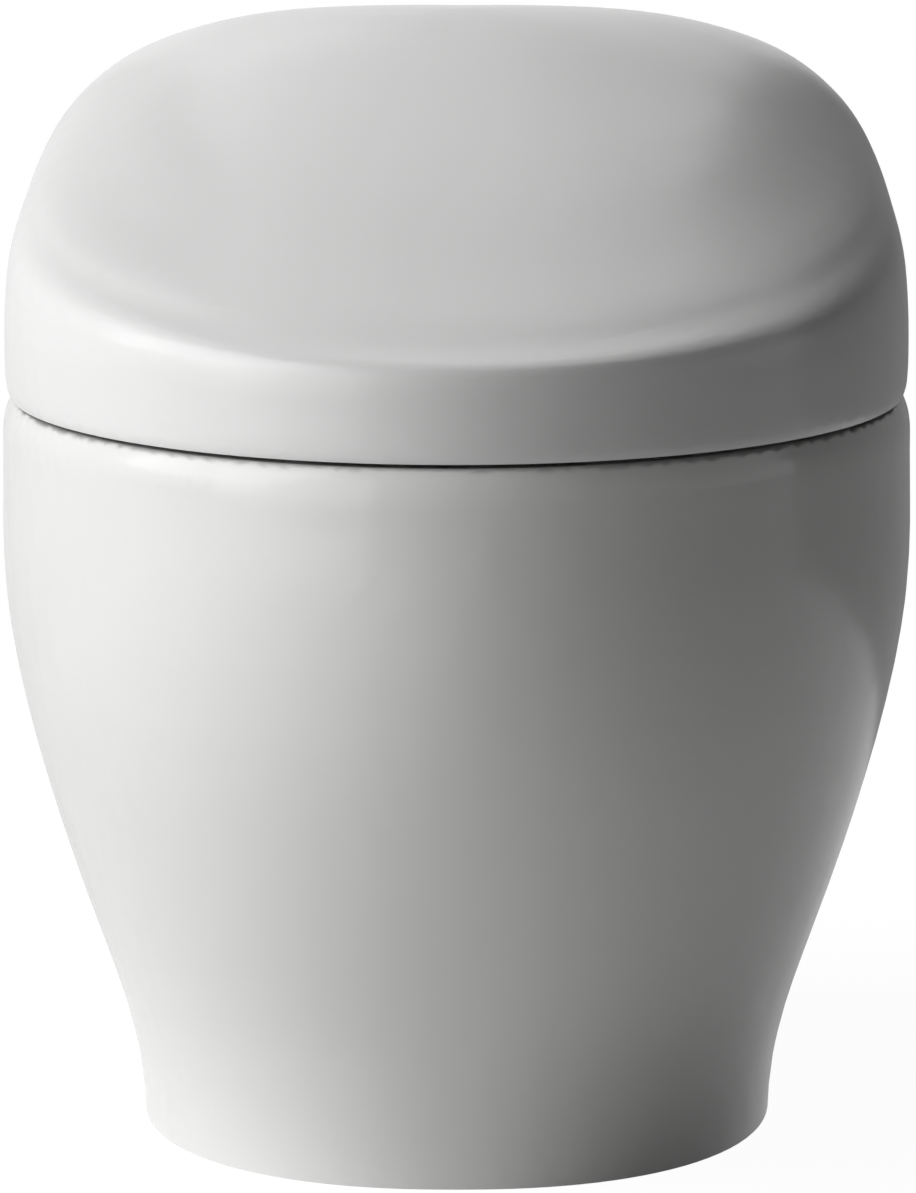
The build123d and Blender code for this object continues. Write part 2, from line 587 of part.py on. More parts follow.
NOZZLE_PLACES = (7.0, 12.0, 17.0)   # jets in the tip, from its end
WAND_TRAVEL = 110.0
ADDENDUM_SHARE = 0.9        # of a tooth's size
DEDENDUM_SHARE = 1.15
FLANK_SHARES = (0.0, 0.5, 1.0)
PITCH_RADIUS = TEETH * TOOTH_SIZE / 2
RACK_PITCH = pi * TOOTH_SIZE

# Shutter that the wand pushes its way past, hinged at its upper edge
SHUTTER_DEPTH = 450.0
SHUTTER_RISE = 3.2          # rim to the shutter's hinge line
SHUTTER_LENGTH = 43.0
SHUTTER_HALF_WIDTH = 19.0
SHUTTER_THICKNESS = 2.0
SHUTTER_TILT = 25.0         # degrees forward of upright when it is shut
SHUTTER_BARREL = 2.3
SHUTTER_PIN = 1.4
LUG_THICKNESS = 4.0
LUG_RADIUS = 3.0


def slope_plane(distance, across, sink=0.0):
    """Plane on the casing's sloping top: its Z looks out, its X runs across and its Y runs uphill."""
    run, rise = HINGE_DEPTH - NOSE_DEPTH, HINGE_HEIGHT - NOSE_HEIGHT
    slope = atan2(rise, run) + atan2(CREST_RADIUS - NOSE_RADIUS, hypot(run, rise))
    out = NOSE_RADIUS - sink
    return Plane((across, back(NOSE_DEPTH) - sin(slope) * out + cos(slope) * distance,
                  NOSE_HEIGHT + cos(slope) * out + sin(slope) * distance),
                 x_dir=(1, 0, 0), z_dir=(0, -sin(slope), cos(slope)))


def casing_form(inset, foot):
    """Fills the casing's outline, moved inwards by an inset, in the part that is open."""
    half = UNIT_HALF_WIDTH - inset
    hull = side_rounds([(NOSE_DEPTH, NOSE_HEIGHT, NOSE_RADIUS - inset),
                        (HINGE_DEPTH, HINGE_HEIGHT, CREST_RADIUS - inset)])
    shelf = UNIT_REAR + BACK_SHELF
    lower = side_face([
        (UNIT_FRONT + inset, foot), (UNIT_FRONT + inset, NOSE_HEIGHT), (HINGE_DEPTH, HINGE_HEIGHT),
        (HINGE_DEPTH + CREST_RADIUS - inset, HINGE_HEIGHT),
        (shelf - inset, STEP_HEIGHT + BACK_SHELF_RISE), (UNIT_REAR - inset, STEP_HEIGHT),
        (UNIT_REAR - inset, foot)])
    extrude(hull, amount=half, both=True)
    extrude(lower, amount=half, both=True)


def wand_plane(distance, across=0.0, above=0.0):
    """Plane square to the wand at a distance from its tip: X runs across, Z runs back up the wand."""
    lean = radians(WAND_TILT)
    return Plane((across, back(WAND_TIP_DEPTH) + cos(lean) * distance - sin(lean) * above,
                  RIM_HEIGHT + WAND_TIP_RISE + sin(lean) * distance + cos(lean) * above),
                 x_dir=(1, 0, 0), z_dir=(0, cos(lean), sin(lean)))


def wand_top_plane(distance, across, above):
    """Plane along the wand that looks up square to it: its X runs back up the wand."""
    lean = radians(WAND_TILT)
    spot = wand_plane(distance, across, above).origin
    return Plane(spot, x_dir=(0, cos(lean), sin(lean)), z_dir=(0, -sin(lean), cos(lean)))


def wand_height(depth):
    """Height of the wand's middle line at a depth."""
    return RIM_HEIGHT + WAND_TIP_RISE + (depth - WAND_TIP_DEPTH) * tan(radians(WAND_TILT))


def involute(angle):
    """How far an involute has turned where its pressure angle is this large."""
    return tan(angle) - angle


def pinion_points():
    """Involute outline of the pinion about its middle, with a tooth space facing its own +Y."""
    pressure = radians(PRESSURE_ANGLE)
    base = PITCH_RADIUS * cos(pressure)
    tip, root = PITCH_RADIUS + ADDENDUM_SHARE * TOOTH_SIZE, PITCH_RADIUS - DEDENDUM_SHARE * TOOTH_SIZE
    half_tooth = pi / 2 / TEETH - TOOTH_PLAY / PITCH_RADIUS
    flank = []
    for share in FLANK_SHARES:
        radius = base + (tip - base) * share
        flank.append((radius, half_tooth + involute(pressure) - involute(acos(base / radius))))
    flank.insert(0, (root, flank[0][1]))
    points = []
    for tooth in range(TEETH):
        middle = pi / 2 + (tooth + 0.5) * 2 * pi / TEETH
        points += [(radius * cos(middle - turn), radius * sin(middle - turn)) for radius, turn in flank]
        points += [(radius * cos(middle + turn), radius * sin(middle + turn))
                   for radius, turn in reversed(flank)]
    return points


def rack_points():
    """Outline of the rack along the wand: its back, then its straight-sided teeth."""
    end = PINION_PLACE + WAND_TRAVEL + RACK_PITCH * 1.5
    slope = tan(radians(PRESSURE_ANGLE))
    high, low = ADDENDUM_SHARE * TOOTH_SIZE, DEDENDUM_SHARE * TOOTH_SIZE
    half = RACK_PITCH / 4 - TOOTH_PLAY
    points = [(RACK_START, -RACK_BACK), (RACK_START, low - RACK_LINE)]
    tooth = PINION_PLACE - RACK_PITCH * floor((PINION_PLACE - RACK_START - half * 2) / RACK_PITCH)
    while tooth < end - RACK_PITCH / 2:
        points += [(tooth - half - low * slope, low - RACK_LINE),
                   (tooth - half + high * slope, -RACK_LINE - high),
                   (tooth + half - high * slope, -RACK_LINE - high),
                   (tooth + half + low * slope, low - RACK_LINE)]
        tooth += RACK_PITCH
    return points + [(end, low - RACK_LINE), (end, -RACK_BACK)]


# Pieces round the wand: dryer, deodoriser, heater, valves and boards
PORT_REAR = 494.0           # depth where the dryer's opening in the base ends
DUCT_X = -50.0
DUCT_WIDTH = 36.0
DUCT_HEIGHT = 18.0
DUCT_WALL = 2.0
DUCT_MOUTH = 452.0
DUCT_BEND = 515.0
DUCT_TAIL = 604.0
BLOWER_RADIUS = 44.0
BLOWER_DEPTH = 656.0
BLOWER_HEIGHT = 42.0
BLOWER_WALL = 2.5
BLOWER_INLET = 18.0
FAN_RADIUS = 33.0
FAN_BORE = 24.0
FAN_DISC = 2.0
FAN_GAP = 3.0               # fan to the floor and roof of its housing
FAN_BLADES = 20
BLADE_THICKNESS = 1.4
FAN_HUB = 7.0
BLADE_LEAN = 28.0           # degrees
FAN_SHAFT = 2.5
RUNNING_GAP = 0.06          # on the radius of a turning shaft
FILTER_X = -92.0            # inner end of the deodoriser
FILTER_DEPTH = 542.0
FILTER_SIZE = (39.0, 38.0, 20.0)
FILTER_WALL = 1.6
FILTER_SLOTS = 4
HEATER_FINS = 6
HEATER_FIN_STEP = 4.5
FIN_THICKNESS = 0.8
HEATER_SPAN = (526.0, 566.0)
STUB_RADIUS = 5.0
STUB_HEIGHT = 8.0
STUB_SHARES = (0.22, 0.78)
COIL_SHARES = (0.25, 0.75)
HEATER_BLOCK = ((60.0, 152.0), (604.0, 662.0))
HEATER_BLOCK_HEIGHT = 44.0
VALVE_BLOCK = ((54.0, 108.0), (672.0, 716.0))
VALVE_BLOCK_HEIGHT = 26.0
COIL_RADIUS = 12.0
COIL_HEIGHT = 16.0
BOARD_SPAN = (-112.0, 46.0)
BOARD_DEPTH = 718.0
BOARD_THICKNESS = 1.6
BOARD_HEIGHT = 84.0
# Parts on the board: shares of its width and height, and how far they stand out
BOARD_PARTS = ((0.06, 0.30, 0.12, 0.55, 14.0), (0.38, 0.52, 0.15, 0.40, 12.0),
               (0.60, 0.92, 0.20, 0.32, 9.0), (0.60, 0.80, 0.50, 0.75, 5.0))
GLAND_BORE = 3.5
GLAND_DEPTH = 764.0
GLAND_LENGTH = 20.0
JET_SIDE = 80.0             # jet pipe's run beside the trapway, from the middle
JET_END = 53.0              # jet pipe's end at the sump
RIM_PIPE_START = 640.0
RIM_PIPE_SIDE = 174.0
RIM_PIPE_END = 147.0
DRIVE_INNER = 24.0          # seat and lid drives round the hinge line
DRIVE_OUTER = 112.0
DRIVE_RADIUS = 18.0
DRIVE_FLANGE = 4.0
PIN_END = 1.0
BUTTONS = 4
BUTTON_RADIUS = 6.0
BUTTON_HEIGHT = 6.0
BUTTON_PROUD = 1.6
BUTTON_TRAVEL = 1.2
BUTTON_START = 58.0         # from the casing's nose up its slope
BUTTON_STEP = 19.0
BUTTON_X = 96.0
WINDOW_RADIUS = 11.0
WINDOW_THICKNESS = 1.2
WINDOW_PLACE = 30.0
BUTTON_PLAY = 0.6           # left between a pressed button's foot and the board below it
BUTTON_BOARD_GAP = BUTTON_TRAVEL + BUTTON_PLAY
BUTTON_BOARD_MARGIN = 8.0

with BuildPart() as unit_casing:
    casing_form(0, BASE_TOP)
with BuildPart() as casing_room:
    casing_form(UNIT_WALL, BASE_TOP - OVERRUN)
with BuildPart() as unit_cover:
    add(unit_casing.part)
    add(casing_room.part, mode=Mode.SUBTRACT)
    for side in (-1, 1):
        cross_bar(HINGE_DEPTH, HINGE_HEIGHT, (side * DRIVE_OUTER, side * ARM_INNER),
                  PIN_RADIUS + SLIDE_GAP, mode=Mode.SUBTRACT)
    duct_span = (DUCT_X - DUCT_WIDTH / 2 - SLIDE_GAP, DUCT_X + DUCT_WIDTH / 2 + SLIDE_GAP)
    slab(duct_span, (UNIT_FRONT - OVERRUN, UNIT_FRONT + OVERRUN * 2), (BASE_TOP, BASE_TOP + DUCT_WALL * 2),
         mode=Mode.SUBTRACT)
    duct_level = wand_height(DUCT_BEND)
    slab(duct_span, (UNIT_REAR - UNIT_WALL * 2, UNIT_REAR + OVERRUN),
         (duct_level - DUCT_HEIGHT / 2 - SLIDE_GAP, duct_level + DUCT_HEIGHT / 2 + SLIDE_GAP),
         mode=Mode.SUBTRACT)
    filter_floor = BASE_TOP + FILTER_WALL + SLIDE_GAP
    slab((-UNIT_HALF_WIDTH - OVERRUN, -UNIT_HALF_WIDTH + OVERRUN * 2),
         (FILTER_DEPTH - FILTER_SIZE[1] / 2 - SLIDE_GAP, FILTER_DEPTH + FILTER_SIZE[1] / 2 + SLIDE_GAP),
         (filter_floor - SLIDE_GAP, filter_floor + FILTER_SIZE[2] + SLIDE_GAP), mode=Mode.SUBTRACT)
    for button in range(BUTTONS):
        with BuildSketch(slope_plane(BUTTON_START + BUTTON_STEP * button, BUTTON_X, UNIT_WALL * 2)):
            Circle(BUTTON_RADIUS + SLIDE_GAP)
        extrude(amount=UNIT_WALL * 3, mode=Mode.SUBTRACT)
    with BuildSketch(slope_plane(WINDOW_PLACE, 0, WINDOW_THICKNESS)):
        Circle(WINDOW_RADIUS + SLIDE_GAP / 2)
    extrude(amount=WINDOW_THICKNESS * 2, mode=Mode.SUBTRACT)
finish(unit_cover, "unit_cover")

with BuildPart() as unit_base:
    middle = back((BASE_FRONT + BASE_REAR) / 2)
    with BuildSketch(Plane((0, middle, RIM_HEIGHT))):
        RectangleRounded(BASE_HALF_WIDTH * 2, BASE_REAR - BASE_FRONT, BASE_CORNER)
    extrude(amount=BASE_THICKNESS + BASE_RIM)
    with BuildSketch(Plane((0, middle, BASE_TOP))):
        RectangleRounded((BASE_HALF_WIDTH - BASE_RIM_WALL) * 2, BASE_REAR - BASE_FRONT - BASE_RIM_WALL * 2,
                         BASE_CORNER - BASE_RIM_WALL)
    extrude(amount=BASE_RIM + OVERRUN, mode=Mode.SUBTRACT)
    slab((-ARM_INNER, ARM_INNER), (BASE_FRONT - OVERRUN, BASE_FRONT + OVERRUN),
         (BASE_TOP, BASE_TOP + BASE_RIM + OVERRUN), mode=Mode.SUBTRACT)
    slab((-WAND_PORT, WAND_PORT), (BASE_FRONT - OVERRUN, WAND_PORT_REAR),
         (RIM_HEIGHT - OVERRUN, BASE_TOP + BASE_RIM + OVERRUN), mode=Mode.SUBTRACT)
    slab(duct_span, (BASE_FRONT - OVERRUN, PORT_REAR),
         (RIM_HEIGHT - OVERRUN, BASE_TOP + BASE_RIM + OVERRUN), mode=Mode.SUBTRACT)
    slab((-BRACKET_HALF_WIDTH - SLIDE_GAP, BRACKET_HALF_WIDTH + SLIDE_GAP),
         (BRACKET_FRONT - SLIDE_GAP, BRACKET_REAR + SLIDE_GAP),
         (RIM_HEIGHT - OVERRUN, RIM_HEIGHT + BRACKET_THICKNESS), mode=Mode.SUBTRACT)
    for side in (-1, 1):
        upright(side * UNIT_BOLT_SPREAD / 2, UNIT_BOLT_DEPTH, RIM_HEIGHT, BASE_TOP + OVERRUN,
                BOLT_HEAD_RADIUS + SLIDE_GAP * 2, mode=Mode.SUBTRACT)
        x_low = WAND_PORT if side > 0 else -WAND_PORT - LUG_THICKNESS
        extrude(side_disc(SHUTTER_DEPTH, RIM_HEIGHT + SHUTTER_RISE, LUG_RADIUS, x_low),
                amount=LUG_THICKNESS)
        extrude(side_face([
            (SHUTTER_DEPTH, RIM_HEIGHT + REST_GAP), (BASE_FRONT + OVERRUN, RIM_HEIGHT + REST_GAP),
            (BASE_FRONT + OVERRUN, BASE_TOP - REST_GAP), (SHUTTER_DEPTH, BASE_TOP - REST_GAP)], x_low),
            amount=LUG_THICKNESS)
    cross_bar(SHUTTER_DEPTH, RIM_HEIGHT + SHUTTER_RISE, (-WAND_PORT - LUG_THICKNESS,
              WAND_PORT + LUG_THICKNESS), SHUTTER_PIN + PIN_CLEARANCE, mode=Mode.SUBTRACT)
    upright(HOSE_HOLE_X, HOSE_HOLE_DEPTH, RIM_HEIGHT - OVERRUN, BASE_TOP + OVERRUN, HOSE_HOLE_RADIUS,
            mode=Mode.SUBTRACT)
    slab((-BASE_HALF_WIDTH - OVERRUN, -UNIT_HALF_WIDTH),
         (FILTER_DEPTH - FILTER_SIZE[1] / 2 - SLIDE_GAP, FILTER_DEPTH + FILTER_SIZE[1] / 2 + SLIDE_GAP),
         (filter_floor - SLIDE_GAP, BASE_TOP + BASE_RIM + OVERRUN), mode=Mode.SUBTRACT)
finish(unit_base, "unit_base")

with BuildPart() as unit_bracket:
    slab((-BRACKET_HALF_WIDTH, BRACKET_HALF_WIDTH), (BRACKET_FRONT, BRACKET_REAR),
         (RIM_HEIGHT, RIM_HEIGHT + BRACKET_THICKNESS))
    fillet(unit_bracket.edges().filter_by(Axis.Z), BRACKET_THICKNESS * 2)
    for side in (-1, 1):
        upright(side * UNIT_BOLT_SPREAD / 2, UNIT_BOLT_DEPTH, RIM_HEIGHT, RIM_HEIGHT + DECK,
                BOLT_RADIUS + SLIDE_GAP / 2, mode=Mode.SUBTRACT)
finish(unit_bracket, "unit_bracket")

BOLT_SEAT = RIM_HEIGHT + BRACKET_THICKNESS
DECK_FOOT = RIM_HEIGHT - DECK
with BuildPart() as unit_bolts:
    for side in (-1, 1):
        x = side * UNIT_BOLT_SPREAD / 2
        upright(x, UNIT_BOLT_DEPTH, BOLT_SEAT - BOLT_LENGTH, BOLT_SEAT, BOLT_RADIUS)
        upright(x, UNIT_BOLT_DEPTH, BOLT_SEAT, BOLT_SEAT + BOLT_HEAD_HEIGHT, BOLT_HEAD_RADIUS)
finish(unit_bolts, "unit_bolts")

with BuildPart() as unit_nuts:
    for side in (-1, 1):
        nut_foot = (side * UNIT_BOLT_SPREAD / 2, back(UNIT_BOLT_DEPTH), DECK_FOOT - NUT_HEIGHT)
        with BuildSketch(Plane(nut_foot)):
            RegularPolygon(NUT_RADIUS, 6)
            Circle(BOLT_RADIUS, mode=Mode.SUBTRACT)
        extrude(amount=NUT_HEIGHT)
finish(unit_nuts, "unit_nuts")

with BuildPart() as hinge_drives:
    for side in (-1, 1):
        span = sorted((side * DRIVE_INNER, side * DRIVE_OUTER))
        cross_bar(HINGE_DEPTH, HINGE_HEIGHT, span, DRIVE_RADIUS)
        for end in span:
            flange = (end, end + DRIVE_FLANGE) if end == span[0] else (end - DRIVE_FLANGE, end)
            cross_bar(HINGE_DEPTH, HINGE_HEIGHT, flange, CREST_RADIUS - UNIT_WALL - REST_GAP)
finish(hinge_drives, "hinge_drives")

with BuildPart() as hinge_pins:
    for side in (-1, 1):
        span = sorted((side * DRIVE_OUTER, side * (EAR_INNER + EAR_THICKNESS + PIN_END)))
        cross_bar(HINGE_DEPTH, HINGE_HEIGHT, span, PIN_RADIUS)
    chamfer(hinge_pins.faces().filter_by(Axis.X).edges(), PIN_END / 2)
finish(hinge_pins, "hinge_pins")

with BuildPart() as wand:
    with BuildSketch(wand_plane(TIP_LENGTH)):
        Circle(WAND_RADIUS)
    extrude(amount=WAND_LENGTH - TIP_LENGTH)
    with BuildSketch(wand_top_plane(0, 0, -RACK_THICKNESS / 2)):
        with BuildLine():
            Polyline(*rack_points(), close=True)
        make_face()
    extrude(amount=RACK_THICKNESS)
    with BuildSketch(wand_plane(TIP_LENGTH)):
        Circle(WAND_BORE)
    extrude(amount=WAND_LENGTH, mode=Mode.SUBTRACT)
finish(wand, "wand")

with BuildPart() as wand_tip:
    with BuildSketch(wand_plane(0)):
        Circle(TIP_RADIUS)
    extrude(amount=TIP_LENGTH)
    fillet(wand_tip.faces().sort_by(Axis.Z)[0].edges(), TIP_RADIUS / 2)
    for place in NOZZLE_PLACES:
        with BuildSketch(wand_top_plane(place, 0, 0)):
            Circle(NOZZLE_RADIUS)
        extrude(amount=TIP_RADIUS + OVERRUN, mode=Mode.SUBTRACT)
finish(wand_tip, "wand_tip")

with BuildPart() as wand_cradle:
    with BuildSketch(wand_plane(CRADLE_START)):
        Rectangle(CRADLE_HALF_WIDTH * 2, CRADLE_HALF_HEIGHT * 2)
        Circle(WAND_RADIUS + SLIDE_GAP, mode=Mode.SUBTRACT)
        with Locations((RACK_LINE / 2 + TOOTH_SIZE / 2, 0)):
            Rectangle(RACK_LINE + TOOTH_SIZE * 2, RACK_THICKNESS + SLIDE_GAP * 2, mode=Mode.SUBTRACT)
    extrude(amount=CRADLE_LENGTH)
    for side in (-1, 1):
        x_low = CRADLE_HALF_WIDTH if side > 0 else -CRADLE_HALF_WIDTH - CHEEK_THICKNESS
        extrude(side_face([
            (CHEEK_FRONT, BASE_TOP), (CHEEK_REAR, BASE_TOP), (CHEEK_REAR, wand_height(CHEEK_REAR)),
            (CHEEK_FRONT, wand_height(CHEEK_FRONT))], x_low), amount=CHEEK_THICKNESS)
    with BuildSketch(wand_top_plane(PINION_PLACE, RACK_LINE + PITCH_RADIUS, -CRADLE_HALF_HEIGHT - OVERRUN)):
        Rectangle(PITCH_RADIUS * 2 + TOOTH_SIZE * 4, PITCH_RADIUS * 2 + TOOTH_SIZE * 4)
    extrude(amount=CRADLE_HALF_HEIGHT + OVERRUN + MOTOR_LIFT, mode=Mode.SUBTRACT)
    motor_x = RACK_LINE + PITCH_RADIUS
    with BuildSketch(wand_top_plane(PINION_PLACE, motor_x, MOTOR_LIFT + MOTOR_PLATE)):
        Circle(MOTOR_RADIUS + REST_GAP)
    extrude(amount=CRADLE_HALF_HEIGHT, mode=Mode.SUBTRACT)
    plate_span = (TIP_RADIUS + SLIDE_GAP * 2, motor_x + MOTOR_RADIUS)
    with BuildSketch(wand_top_plane(PINION_PLACE, sum(plate_span) / 2, MOTOR_LIFT)):
        Rectangle(PITCH_RADIUS * 2 + TOOTH_SIZE * 4 + OVERRUN, plate_span[1] - plate_span[0])
    extrude(amount=MOTOR_PLATE)
    with BuildSketch(wand_top_plane(PINION_PLACE, motor_x, 0)):
        Circle(PINION_SHAFT + SLIDE_GAP)
    extrude(amount=MOTOR_LIFT + MOTOR_PLATE + OVERRUN, mode=Mode.SUBTRACT)
finish(wand_cradle, "wand_cradle")

with BuildPart() as wand_pinion:
    with BuildSketch(wand_top_plane(PINION_PLACE, motor_x, -RACK_THICKNESS / 2)):
        with BuildLine():
            Polyline(*pinion_points(), close=True)
        make_face()
    extrude(amount=RACK_THICKNESS)
    with BuildSketch(wand_top_plane(PINION_PLACE, motor_x, 0)):
        Circle(PINION_SHAFT)
    extrude(amount=MOTOR_LIFT + MOTOR_PLATE)
finish(wand_pinion, "wand_pinion")

with BuildPart() as wand_motor:
    with BuildSketch(wand_top_plane(PINION_PLACE, motor_x, MOTOR_LIFT + MOTOR_PLATE)):
        Circle(MOTOR_RADIUS)
    extrude(amount=MOTOR_LENGTH)
    with BuildSketch(wand_top_plane(PINION_PLACE, motor_x, MOTOR_LIFT + MOTOR_PLATE)):
        Circle(PINION_SHAFT + SLIDE_GAP)
    extrude(amount=OVERRUN, mode=Mode.SUBTRACT)
finish(wand_motor, "wand_motor")

with BuildPart() as shutter:
    hinge_rise = RIM_HEIGHT + SHUTTER_RISE
    lean = radians(SHUTTER_TILT)
    with BuildSketch(Plane((0, back(SHUTTER_DEPTH), hinge_rise), x_dir=(1, 0, 0),
                           z_dir=(0, -sin(lean), -cos(lean)))):
        Rectangle(SHUTTER_HALF_WIDTH * 2, SHUTTER_THICKNESS)
    extrude(amount=SHUTTER_LENGTH)
    cross_bar(SHUTTER_DEPTH, hinge_rise, (-SHUTTER_HALF_WIDTH, SHUTTER_HALF_WIDTH), SHUTTER_BARREL)
    cross_bar(SHUTTER_DEPTH, hinge_rise, (-WAND_PORT - LUG_THICKNESS, WAND_PORT + LUG_THICKNESS),
              SHUTTER_PIN)
finish(shutter, "shutter")


def duct_face(half):
    """Side view of the dryer duct, or of its passage, as far as half its height from its middle."""
    lean = radians(WAND_TILT)
    level = wand_height(DUCT_BEND)
    mouth = wand_height(DUCT_MOUTH)
    shift = half * tan(lean / 2)
    return side_face([
        (DUCT_MOUTH - half * sin(lean), mouth + half * cos(lean)), (DUCT_BEND - shift, level + half),
        (DUCT_TAIL, level + half), (DUCT_TAIL, level - half), (DUCT_BEND + shift, level - half),
        (DUCT_MOUTH + half * sin(lean), mouth - half * cos(lean))], DUCT_X)


with BuildPart() as dryer_duct:
    extrude(duct_face(DUCT_HEIGHT / 2), amount=DUCT_WIDTH / 2, both=True)
    extrude(duct_face(DUCT_HEIGHT / 2 - DUCT_WALL), amount=DUCT_WIDTH / 2 - DUCT_WALL, both=True,
            mode=Mode.SUBTRACT)
finish(dryer_duct, "dryer_duct")

with BuildPart() as dryer_heater:
    for fin in range(HEATER_FINS):
        level = wand_height(DUCT_BEND)
        x = DUCT_X - (DUCT_WIDTH / 2 - DUCT_WALL) + HEATER_FIN_STEP * (fin + 1)
        slab((x - FIN_THICKNESS / 2, x + FIN_THICKNESS / 2), HEATER_SPAN,
             (level - DUCT_HEIGHT / 2 + DUCT_WALL, level + DUCT_HEIGHT / 2 - DUCT_WALL))
finish(dryer_heater, "dryer_heater")

BLOWER_X = DUCT_X + DUCT_WIDTH / 2 - BLOWER_RADIUS
BLOWER_TOP = BASE_TOP + BLOWER_HEIGHT
with BuildPart() as blower_housing:
    level = wand_height(DUCT_BEND)
    upright(BLOWER_X, BLOWER_DEPTH, BASE_TOP, BLOWER_TOP, BLOWER_RADIUS)
    slab((DUCT_X - DUCT_WIDTH / 2, DUCT_X + DUCT_WIDTH / 2), (DUCT_TAIL, BLOWER_DEPTH),
         (level - DUCT_HEIGHT / 2, level + DUCT_HEIGHT / 2))
    upright(BLOWER_X, BLOWER_DEPTH, BASE_TOP + BLOWER_WALL, BLOWER_TOP - BLOWER_WALL,
            BLOWER_RADIUS - BLOWER_WALL, mode=Mode.SUBTRACT)
    slab((DUCT_X - DUCT_WIDTH / 2 + DUCT_WALL, DUCT_X + DUCT_WIDTH / 2 - DUCT_WALL),
         (DUCT_TAIL - OVERRUN, BLOWER_DEPTH),
         (level - DUCT_HEIGHT / 2 + DUCT_WALL, level + DUCT_HEIGHT / 2 - DUCT_WALL), mode=Mode.SUBTRACT)
    upright(BLOWER_X, BLOWER_DEPTH, BLOWER_TOP - BLOWER_WALL * 2, BLOWER_TOP + OVERRUN, BLOWER_INLET,
            mode=Mode.SUBTRACT)
    upright(BLOWER_X, BLOWER_DEPTH, BASE_TOP, BASE_TOP + BLOWER_WALL * 2, FAN_HUB - FAN_GAP / 2)
    upright(BLOWER_X, BLOWER_DEPTH, BASE_TOP + BLOWER_WALL / 2, BLOWER_TOP, FAN_SHAFT + RUNNING_GAP,
            mode=Mode.SUBTRACT)
finish(blower_housing, "blower_housing")

FAN_FOOT = BASE_TOP + BLOWER_WALL * 2 + FAN_GAP
FAN_TOP = BLOWER_TOP - BLOWER_WALL - FAN_GAP
with BuildPart() as blower_fan:
    upright(BLOWER_X, BLOWER_DEPTH, FAN_FOOT, FAN_FOOT + FAN_DISC, FAN_RADIUS)
    upright(BLOWER_X, BLOWER_DEPTH, FAN_FOOT, (FAN_FOOT + FAN_TOP) / 2, FAN_HUB)
    upright(BLOWER_X, BLOWER_DEPTH, BASE_TOP + BLOWER_WALL, FAN_FOOT + FAN_DISC, FAN_SHAFT)
    with BuildSketch(Plane((BLOWER_X, back(BLOWER_DEPTH), FAN_FOOT))):
        with PolarLocations((FAN_RADIUS + FAN_BORE) / 2, FAN_BLADES):
            Rectangle(FAN_RADIUS - FAN_BORE, BLADE_THICKNESS, rotation=BLADE_LEAN)
    extrude(amount=FAN_TOP - FAN_FOOT - FAN_DISC / 2)
    with BuildSketch(Plane((BLOWER_X, back(BLOWER_DEPTH), FAN_TOP - FAN_DISC))):
        Circle(FAN_RADIUS)
        Circle(FAN_BORE, mode=Mode.SUBTRACT)
    extrude(amount=FAN_DISC)
finish(blower_fan, "blower_fan")

with BuildPart() as filter_holder:
    length, wide, high = FILTER_SIZE
    room = FILTER_WALL + SLIDE_GAP
    x_low = -UNIT_HALF_WIDTH + UNIT_WALL
    floor_level = BASE_TOP + FILTER_WALL
    slab((x_low, FILTER_X + room), (FILTER_DEPTH - wide / 2 - room, FILTER_DEPTH + wide / 2 + room),
         (BASE_TOP, floor_level + high + SLIDE_GAP * 2 + FILTER_WALL))
    slab((x_low - OVERRUN, FILTER_X + SLIDE_GAP),
         (FILTER_DEPTH - wide / 2 - SLIDE_GAP, FILTER_DEPTH + wide / 2 + SLIDE_GAP),
         (floor_level, floor_level + high + SLIDE_GAP * 2), mode=Mode.SUBTRACT)
finish(filter_holder, "filter_holder")

with BuildPart() as deodoriser:
    slab((FILTER_X - length, FILTER_X), (FILTER_DEPTH - wide / 2, FILTER_DEPTH + wide / 2),
         (filter_floor, filter_floor + high))
    with BuildSketch(side_plane(FILTER_X - length - FILTER_WALL)):
        with Locations((back(FILTER_DEPTH), filter_floor + high / 2)):
            RectangleRounded(wide, high, high / 4)
    extrude(amount=FILTER_WALL)
    for slot in range(FILTER_SLOTS):
        depth = FILTER_DEPTH + wide / FILTER_SLOTS * (slot - (FILTER_SLOTS - 1) / 2)
        slab((FILTER_X - length + FILTER_WALL * 2, FILTER_X - FILTER_WALL * 2),
             (depth - FILTER_WALL, depth + FILTER_WALL),
             (filter_floor + high - FILTER_WALL * 3, filter_floor + high + OVERRUN), mode=Mode.SUBTRACT)
finish(deodoriser, "deodoriser")

with BuildPart() as water_heater:
    (x_low, x_high), span = HEATER_BLOCK
    slab((x_low, x_high), span, (BASE_TOP, BASE_TOP + HEATER_BLOCK_HEIGHT))
    fillet(water_heater.edges().filter_by(Axis.Z), STUB_RADIUS * 2)
    for share in STUB_SHARES:
        upright(x_low + (x_high - x_low) * share, (span[0] + span[1]) / 2, BASE_TOP,
                BASE_TOP + HEATER_BLOCK_HEIGHT + STUB_HEIGHT, STUB_RADIUS)
finish(water_heater, "water_heater")

with BuildPart() as valve_block:
    (x_low, x_high), span = VALVE_BLOCK
    slab((x_low, x_high), span, (BASE_TOP, BASE_TOP + VALVE_BLOCK_HEIGHT))
    fillet(valve_block.edges().filter_by(Axis.Z), STUB_RADIUS)
    for share in COIL_SHARES:
        upright(x_low + (x_high - x_low) * share, (span[0] + span[1]) / 2, BASE_TOP,
                BASE_TOP + VALVE_BLOCK_HEIGHT + COIL_HEIGHT, COIL_RADIUS)
finish(valve_block, "valve_block")

